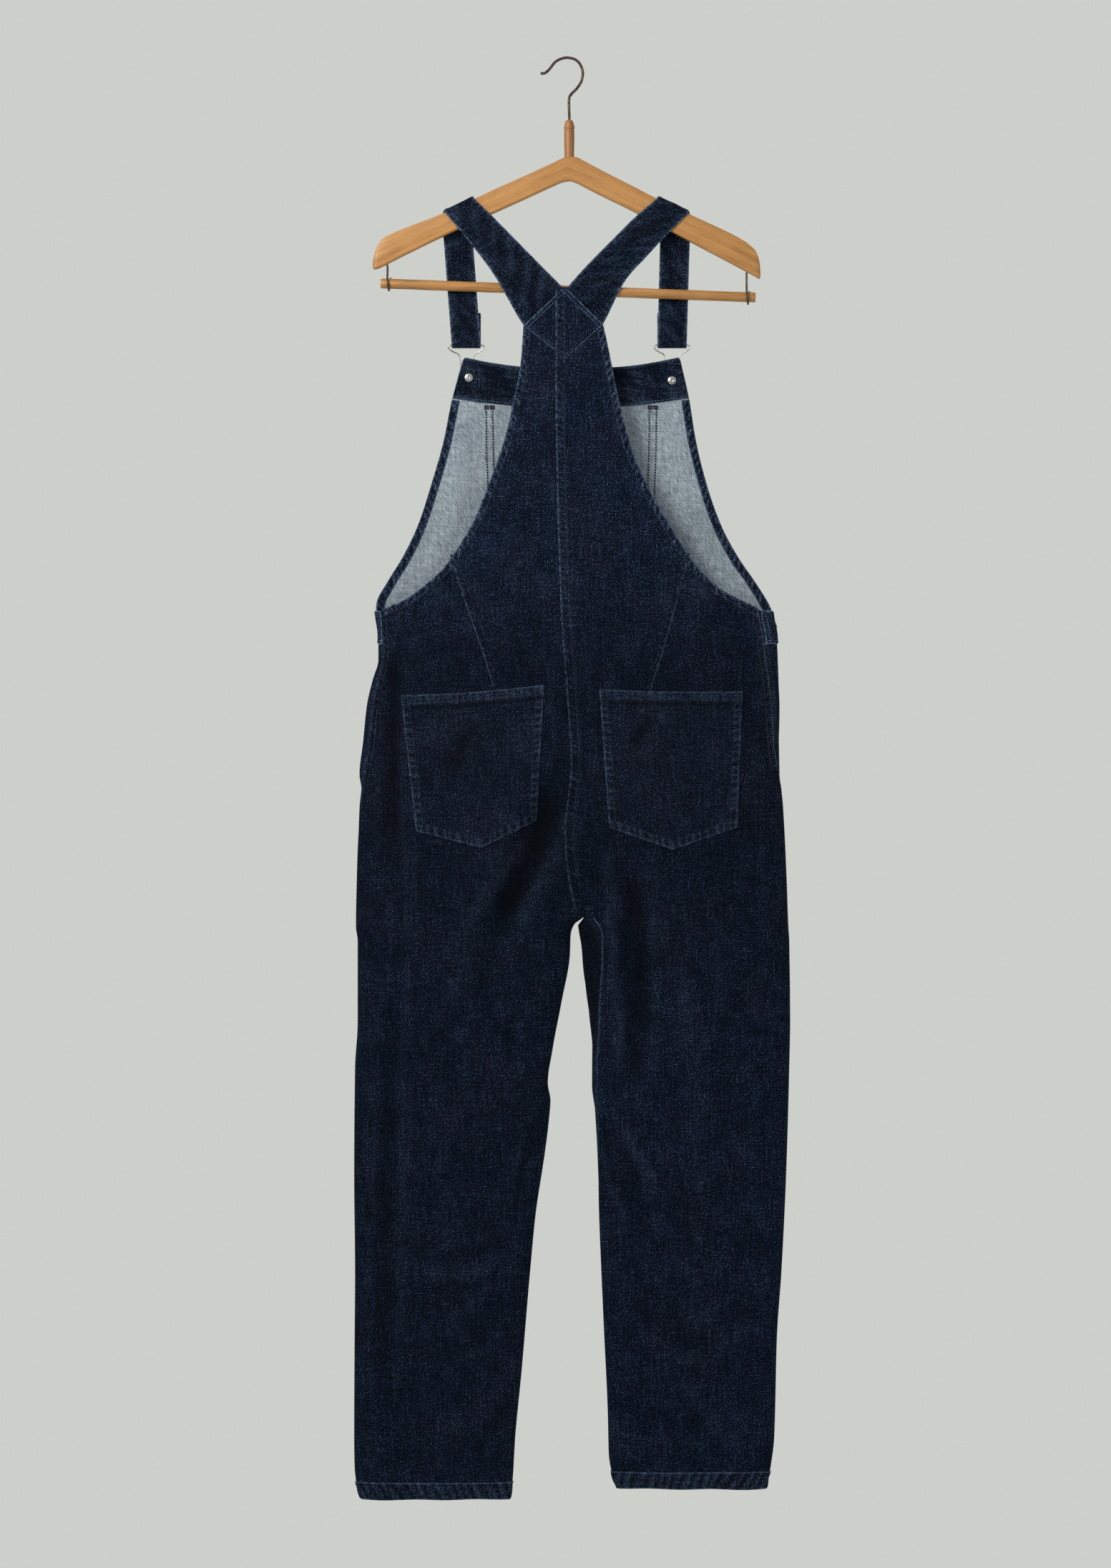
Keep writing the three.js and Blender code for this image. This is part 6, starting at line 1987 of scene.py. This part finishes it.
def tube_faces(index: Array, closed: bool = False) -> list[list[int]]:
    """List the faces between rings of corners.

    Args:
        index: the corners' numbers, a row for each ring.
        closed: whether the last ring meets the first.

    Returns:
        The corners of each face.
    """
    here, there = (index, np.roll(index, -1, axis=0)) if closed else (index[:-1], index[1:])
    rows = np.stack([here, there, np.roll(there, -1, axis=1), np.roll(here, -1, axis=1)], axis=-1)
    return rows.reshape(-1, 4).tolist()


def corner_turns(steps: int) -> Iterator[tuple[int, int, float]]:
    """Go round a rectangle's four corners.

    Args:
        steps: how many places each corner has.

    Yields:
        Which way along both axes the corner lies, and the angle of each of its places.
    """
    for sx, sz, start in ((1, 1, 0), (-1, 1, 90), (-1, -1, 180), (1, -1, 270)):
        for step in np.linspace(0, 90, steps):
            yield sx, sz, math.radians(start + step)


def outward(points: Array, faces: list[list[int]]) -> list[list[int]]:
    """Turn a closed mesh's faces outwards, whichever way they were listed.

    Args:
        points: the corners' places.
        faces: the corners of each face.

    Returns:
        The faces.
    """
    volume = 0.0
    for face in faces:
        corners = points[face]
        fan = np.cross(corners[1:-1] - points[0], corners[2:] - points[0])
        volume += float(np.sum(fan * (corners[0] - points[0])))
    return faces if volume > 0 else [face[::-1] for face in faces]


def lathe(
    name: str, profile: Sequence[Point], foot: Array, axis: Array, finish: Material, around: int = 40
) -> Object:
    """Turn a profile round an axis.

    Args:
        name: the piece's name.
        profile: radii and heights, from the axis back to the axis.
        foot: where height nought lies.
        axis: the direction of height.
        finish: its material.
        around: how many columns it has.

    Returns:
        The object.
    """
    rows = np.asarray(profile, float)
    axis = np.asarray(axis, float) / np.linalg.norm(axis)
    first = np.cross(axis, [0.31, 0.17, 0.93])
    first /= np.linalg.norm(first)
    second = np.cross(axis, first)
    angle = np.linspace(0, 2 * math.pi, around, endpoint=False)
    spoke = np.cos(angle)[:, None] * first + np.sin(angle)[:, None] * second
    inside = rows[1:-1]
    points = foot + inside[:, None, :1] * spoke[None] + inside[:, None, 1:] * axis
    points = np.vstack([points.reshape(-1, 3), foot + rows[0, 1] * axis, foot + rows[-1, 1] * axis])
    index = np.arange(len(inside) * around).reshape(len(inside), around)
    low, high = len(points) - 2, len(points) - 1
    faces = tube_faces(index)
    faces += [[low, int(p), int(q)] for p, q in zip(index[0], np.roll(index[0], -1))]
    faces += [[high, int(q), int(p)] for p, q in zip(index[-1], np.roll(index[-1], -1))]
    return make_piece(name, points, outward(points, faces), [finish], crisp=40)


@dataclass
class Fastenings(Part):
    """The bib's two wire clasps with their buttons, rivets and slides, and the four side buttons."""

    button_radius: float = 8.5
    rivet_radius: float = 4.7
    wire_radius: float = 0.9
    slide: tuple[float, float, float, float] = (16.3, 7.0, 2.6, 1.4)
    slide_z: float = -297.0

    def button_profile(self) -> list[Point]:
        """Draw half of a tack button: a shank, a rolled rim, a sunk ring and a low dome."""
        r = self.button_radius
        return [
            (0, 0), (3, 0), (3, 2.9), (r - 1.4, 3.0), (r - 0.5, 3.2), (r - 0.05, 3.8), (r, 4.2), (r - 0.15, 4.7),
            (r - 0.6, 5.1), (r - 1.1, 5.15), (r - 1.5, 4.8), (r - 1.9, 4.45), (r - 2.5, 4.5), (r - 3.2, 5.0),
            (r * 0.45, 5.5), (r * 0.25, 5.78), (r * 0.08, 5.88), (0, 5.9),
        ]

    def rivet_profile(self) -> list[Point]:
        """Draw half of a rivet's back: a flange with a small dome that is dished in its middle."""
        r = self.rivet_radius
        return [
            (0, 0), (r - 0.2, 0), (r, 0.25), (r - 0.05, 0.6), (r - 0.4, 0.85), (r * 0.66, 1.0), (r * 0.56, 1.45),
            (r * 0.44, 1.68), (r * 0.3, 1.6), (r * 0.2, 1.15), (r * 0.08, 1.05), (0, 1.05),
        ]

    def clasp_path(self, side: Side, seat: float) -> Array:
        """Bend the clasp's wire: through the strap's end, down both sides and round the button's shank.

        Args:
            side: its half.
            seat: Y of the bib's face under the button.

        Returns:
            The wire's path.
        """
        middle = sum(STRAP_FRONT[side][2]) / 2
        x, z = BUTTONS[side]
        in_strap = STRAP / 2 + GAP + HANGER_THICKNESS / 2 + self.wire_radius + GAP + STRAP / 2
        hooked = seat + GAP + 1.7
        half = (
            (0, in_strap, CLIP_Z), (10, in_strap, CLIP_Z), (18.6, in_strap, CLIP_Z), (20, in_strap, CLIP_Z - 3),
            (15.5, in_strap + 0.4, CLIP_Z - 7), (9.4, hooked, CLIP_Z - 10), (8, hooked, CLIP_Z - 15),
            (9, hooked, z + 12), (8.2, hooked, z + 6), (4.9, hooked, z + 1), (4.5, hooked, z - 2),
        )
        lean = [middle + (x - middle) * float(smooth((CLIP_Z - 4 - at) / 24)) for _, _, at in half]
        left, right = (
            [(a + way * (off if i else 0.6), y, at) for i, (a, (off, y, at)) in enumerate(zip(lean, half))]
            for way in (-1, 1)
        )
        return rounded([*left, (x, hooked, z - 5.4), *right[::-1]], 0.8)

    def slide_plate(self, side: Side) -> Object:
        """Make a flat ring with rounded corners and edges, round the strap's folded end.

        Args:
            side: its half.

        Returns:
            The object.
        """
        wide, high, rim, thick = self.slide
        middle, corner, soft = sum(STRAP_FRONT[side][2]) / 2, 2.6, 0.4
        turns = [(sx, sz, math.cos(angle), math.sin(angle)) for sx, sz, angle in corner_turns(8)]
        way = np.array([(x, z) for _, _, x, z in turns])
        path = np.array([(sx * (wide - corner), sz * (high - corner)) for sx, sz, _, _ in turns]) + corner * way
        bit = 0.3 * soft
        section = [
            (0, soft), (-bit, bit), (-soft, 0), (-rim + soft, 0), (-rim + bit, bit), (-rim, soft),
            (-rim, thick - soft), (-rim + bit, thick - bit), (-rim + soft, thick), (-soft, thick),
            (-bit, thick - bit), (0, thick - soft),
        ]
        face = HANGER_THICKNESS / 2 + GAP + STRAP / 2 + 2 * (self.wire_radius + GAP + STRAP / 2) + STRAP / 2 + GAP
        rings = []
        for o, y in section:
            at = path + way * o
            rings.append(np.column_stack([middle + at[:, 0], np.full(len(at), face + y), self.slide_z + at[:, 1]]))
        points = np.vstack(rings)
        index = np.arange(len(points)).reshape(len(section), len(path))
        faces = outward(points, tube_faces(index, closed=True))
        return make_piece(f"strap_slide_{side.value}", points, faces, [self.shop.finishes.nickel], crisp=60)

    def build(self) -> None:
        """Make every fastening."""
        nickel, tree, ahead = self.shop.finishes.nickel, wire_tree(), np.array([0.0, 1.0, 0.0])
        for side in Side:
            x, z = BUTTONS[side]
            face = self.form.on_front(np.array([x]), np.array([z]))[0][0]
            behind = face - ahead * (CLOTH + PATCH + 2 * GAP + 0.05)
            path = self.clasp_path(side, face[1])
            clasp, button, rivet = (f"{kind}_{side.value}" for kind in ("clasp", "bib_button", "bib_rivet"))
            pieces = [
                lathe(button, self.button_profile(), face + ahead * 0.6, ahead, nickel),
                lathe(rivet, self.rivet_profile(), behind, -ahead, self.shop.finishes.rivet),
                grown(clasp, [(path, path * 0 + ahead)], tree, Radius=self.wire_radius * MM, Sides=14, Metal=nickel),
                self.slide_plate(side),
            ]
            for name, above in ((f"waist_button_{side.value}", 1.25), (f"side_button_{side.value}", 0.35)):
                low, high = (np.asarray(v, float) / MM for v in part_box(name))
                on, out = self.form.on_front(*((low[[k]] + high[[k]]) / 2 for k in (0, 2)))
                pieces.append(lathe(name, self.button_profile(), on[0] + out[0] * above, out[0], nickel))
            for piece in pieces:
                settle(piece, "nickel", piece.name.split(".")[0])


@dataclass
class Hanger(Part):
    """A wooden hanger: flat arms, a turned peg, a wire hook, and a round bar in two wires."""

    bevel: float = 2.4
    peg_radius: float = 6.1
    bar_radius: float = 5.8
    hook_radius: float = 1.6
    loop_radius: float = 1.2
    bar_ends: tuple[Point, Point] = ((-212, -254.5), (214, -270.5))

    def __post_init__(self) -> None:
        """Make a curve of each edge of the arms."""
        x, top, foot = zip(*ARMS)
        self.top, self.foot = Track(x, top), Track(x, foot)

    def arms(self) -> Object:
        """Loft the flat board, with softened edges and rounded ends.

        Returns:
            The object.
        """
        low, high = ARMS[0][0], ARMS[-1][0]
        near = np.array([0.15, 0.6, 1.4, 2.6, 4.2, 6.2, 9])
        x = np.concatenate([low + near, np.linspace(low + 12, high - 12, 150), high - near[::-1]])
        top, foot = self.top(x), self.foot(x)
        tip = np.sqrt(1 - (1 - np.clip(np.minimum(x - low, high - x) / 5.0, 0, 1)) ** 2)
        deep = HANGER_THICKNESS / 2 * (0.5 + 0.5 * tip)
        half = np.maximum((top - foot) / 2, 0.3)
        soft = np.minimum(self.bevel, 0.45 * half)
        rings = []
        for sy, sz, angle in corner_turns(5):
            y = sy * (deep - soft) + soft * math.cos(angle)
            z = (top + foot) / 2 + sz * (half - soft) + soft * math.sin(angle)
            rings.append(np.column_stack([x, y + 0.05 * wave(201, 30, x), z + 0.12 * wave(202, 60, x)]))
        index = np.arange(len(x) * len(rings)).reshape(len(x), len(rings))
        points = np.stack(rings, axis=1).reshape(-1, 3)
        faces = tube_faces(index) + [index[0].tolist(), index[-1][::-1].tolist()]
        return make_piece("hanger_arms", points, outward(points, faces), [self.shop.finishes.arms], crisp=50)

    def peg(self) -> Object:
        """Turn the peg that holds the hook: a waisted foot, a fine groove and a small collar.

        Returns:
            The object.
        """
        r = self.peg_radius
        profile = [
            (0, -112.5), (5.6, -112.5), (5.7, -106), (5.95, -95), (r, -86), (r, -80.6), (r - 0.4, -80.1),
            (r - 0.4, -79.6), (r, -79.1), (r, -76.4), (r - 0.3, -75), (5.3, -73.2), (4.9, -71.5), (4.2, -70.2),
            (3.4, -69.5), (2.0, -69.25), (1.8, -69.6), (1.8, -90), (0, -90),
        ]
        foot, up = np.array([STEM_X, 0, 0]), np.array([0, 0, 1.0])
        return lathe("hanger_peg", profile, foot, up, self.shop.finishes.peg, 48)

    def hook(self) -> Array:
        """Bend the hook's wire, from the peg over the nail to its turned-up tip."""
        path = [
            (STEM_X, 0, -91), (STEM_X, 0, -70), (2.0, 0, -46), (4.4, 0, -39.9), (11, 0, -33), (16, 0, -25),
            (17.6, 0, -15), (14.9, 0, -6.5), (9.3, 0, -0.6), (1.1, 0, 1.6), (-6.3, 0, 0.7), (-13.9, 0, -3.4),
            (-20.5, 0, -11.6), (-25.5, 0, -15.7), (-30.4, 0, -16.2),
        ]
        return rounded(path, 1.1)

    def bar(self) -> Object:
        """Turn the slightly uneven round bar, with softened ends.

        Returns:
            The object.
        """
        (ax, az), (bx, bz) = self.bar_ends
        length, r = math.hypot(bx - ax, bz - az), self.bar_radius
        along = np.linspace(4, length - 4, 90)
        body = [(r - 0.1 + 0.07 * float(w), float(at)) for at, w in zip(along, wave(211, 45, along))]
        ends = [(0, 0), (r * 0.6, 0.05), (r * 0.88, 0.35), (r - 0.15, 1.3)]
        profile = [*ends, *body, *[(radius, length - at) for radius, at in ends[::-1]]]
        foot, along_it = np.array([ax, 0, az]), np.array([bx - ax, 0, bz - az])
        return lathe("hanger_bar", profile, foot, along_it, self.shop.finishes.bar)

    def loop(self, x: float) -> Array:
        """Bend one wire down from the arm and once round the bar.

        Args:
            x: where it hangs.

        Returns:
            The wire's path.
        """
        (ax, az), (bx, bz) = self.bar_ends
        round_by = self.bar_radius + GAP + self.loop_radius + 0.4
        middle = az + (bz - az) * (x - ax) / (bx - ax)
        top = float(self.foot(x)) - GAP - 0.5
        turns = [(i, math.radians(120 + 50 * i)) for i in range(7)]
        coil = [(x + 0.55 * i, round_by * math.cos(a), middle + round_by * math.sin(a)) for i, a in turns]
        return rounded([(x, 0, top), (x, -0.6, (top + middle + round_by) / 2), *coil], 0.9)

    def build(self) -> None:
        """Make the hanger's six pieces."""
        tree = bpy.data.node_groups["Bent wire"]
        for piece in (self.arms(), self.peg(), self.bar()):
            settle(piece, "wood", piece.name.split(".")[0])
        wires = {"hanger_hook": (self.hook(), self.hook_radius)}
        for side, x in ((Side.LEFT, -204), (Side.RIGHT, 203.5)):
            wires[f"hanger_loop_{side.value}"] = (self.loop(x), self.loop_radius)
        for name, (path, radius) in wires.items():
            rows = [(path, path * 0 + np.array([0, 1.0, 0]))]
            settle(grown(name, rows, tree, Radius=radius * MM, Sides=18, Metal=self.shop.finishes.wire), "wire", name)


@dataclass
class Studio:
    """The pale room, the soft lights and the camera at the photograph's place."""

    centre: tuple[float, float] = (-0.0134, -0.8228)
    frame_height: float = 1.78
    distance: float = 5.0
    room: str = "#cdcfcb"
    floor_half: tuple[float, float] = (1.6, 1.2)
    floor_z: float = -1.95

    def light(
        self, name: str, place: Sequence[float], aim: Sequence[float], size: float, power: float, tint: str
    ) -> None:
        """Hang one square area light that faces a point.

        Args:
            name: its name.
            place: where it hangs.
            aim: what it faces.
            size: its side.
            power: its power in watts.
            tint: its colour.
        """
        data = bpy.data.lights.new(name, "AREA")
        data.shape, data.size, data.energy = "SQUARE", size, power
        data.color = linear(tint)[:3]
        lamp = bpy.data.objects.new(name, data)
        lamp.location = place
        lamp.rotation_euler = (Vector(aim) - Vector(place)).to_track_quat("-Z", "Y").to_euler()
        bpy.context.scene.collection.objects.link(lamp)

    def build(self) -> None:
        """Light the room, lay its floor and set up the camera."""
        scene = bpy.context.scene
        scene.view_settings.view_transform = "Standard"
        world = bpy.data.worlds.new("pale_room")
        scene.world = world
        world.use_nodes = True
        world.node_tree.nodes["Background"].inputs["Color"].default_value = linear(self.room)
        aim = (0, 0, -0.85)
        self.light("key_light", (-0.85, -1.05, 0.22), (0, 0, -0.48), 0.55, 17, "#fffaf2")
        self.light("fill_light", (3.0, -3.0, -0.6), aim, 2.0, 9, "#eef4ff")
        self.light("front_light", (1.6, 3.2, 0.6), aim, 2.0, 55, "#fffaf2")
        mesh = bpy.data.meshes.new("floor")
        wide, deep = self.floor_half
        corners = [(x * wide, y * deep, self.floor_z) for x, y in ((-1, -1), (1, -1), (1, 1), (-1, 1))]
        mesh.from_pydata(corners, [], [(0, 1, 2, 3)])
        # Smooth pale board: matt, with faint broad clouds.
        material, tree, shader = new_material("pale_floor", Roughness=0.8)
        clouds = grains(tree, node(tree, "ShaderNodeTexCoord").outputs["Object"], (300, 300, 300))
        colour = node(tree, "ShaderNodeValToRGB", {0: clouds}, stops=((0.3, "#cfd0cd"), (0.7, "#d6d7d4")))
        feed(tree, shader, {"Base Color": colour})
        mesh.materials.append(material)
        floor = bpy.data.objects.new("floor", mesh)
        scene.collection.objects.link(floor)
        camera = bpy.data.cameras.new("camera")
        camera.lens = 36 * self.distance / self.frame_height
        eye = bpy.data.objects.new("camera", camera)
        eye.location = (self.centre[0], -self.distance, self.centre[1])
        eye.rotation_euler = (math.pi / 2, 0, 0)
        scene.collection.objects.link(eye)
        scene.camera = eye


def declare_sheets() -> None:
    """Build a list of what each piece of cloth was cut to, in metres, and which pieces are sewn on it; the list is not
    passed on.
    """
    rows, right_only = [], ("side_edge_right", "inseam_edge_right", "crotch_tack")
    for key, others in (("left", ("side_edge_left",)), ("right", right_only)):
        trims = [f"{trim}_{key}" for trim in ("armhole_hem", "yoke_edge", "yoke_foot", "dart")]
        fell = ["centre_back_fell"] if key == "left" else []
        rows.append((f"back_{key}", (0.27, 1.385), [f"strap_{key}"], 3, [*fell, *trims, *others, f"hem_{key}"]))
        rows.append((f"front_{key}", (0.275, 0.985), ["front_waistband"], 3, []))
        rows.append((f"back_pocket_{key}", (0.163, 0.184), [f"back_{key}"], 4, []))
        rows.append((f"strap_{key}", (0.062, 0.40), ["hanger_arms"], 4, []))
    facings = ["bib_band_facing", "bib_side_facing_left", "bib_side_facing_right"]
    rows.append(("bib", (0.47, 0.30), ["clasp_left", "clasp_right"], 4, facings))
    rows.append(("bib_pocket", (0.19, 0.148), ["bib"], 4, []))
    rows.append(("front_waistband", (0.51, 0.038), ["bib"], 4, []))


def main() -> None:
    """Build the garment, its fastenings, its hanger and the studio in order."""
    logging.basicConfig(level=logging.INFO, format="%(message)s")
    shop = Workshop(GarmentForm(), Finishes(), Stitching())
    back = ("bodice", "seat", "fork", "thigh", "knee", "shin")
    for side in Side:
        BodyPanel(shop, side, Face.BACK, back, cell=3.3).build()
        BodyPanel(shop, side, Face.FRONT, back[1:], cell=6.5).build()
        TrouserHem(shop, side).build()
        PatchPocket(shop, side).build()
    BackSeams(shop).build()
    Bib(shop).build()
    FrontWaistband(shop).build()
    hanger = Hanger(shop)
    for side in Side:
        Strap(shop, side, hanger.top).build()
    Fastenings(shop).build()
    hanger.build()
    shop.stitching.sew(shop.finishes)
    declare_sheets()
    Studio().build()
    for name, area in shop.areas.items():
        LOG.info("%s: %.4f square metres", name, area)


if __name__ == "__main__":
    main()
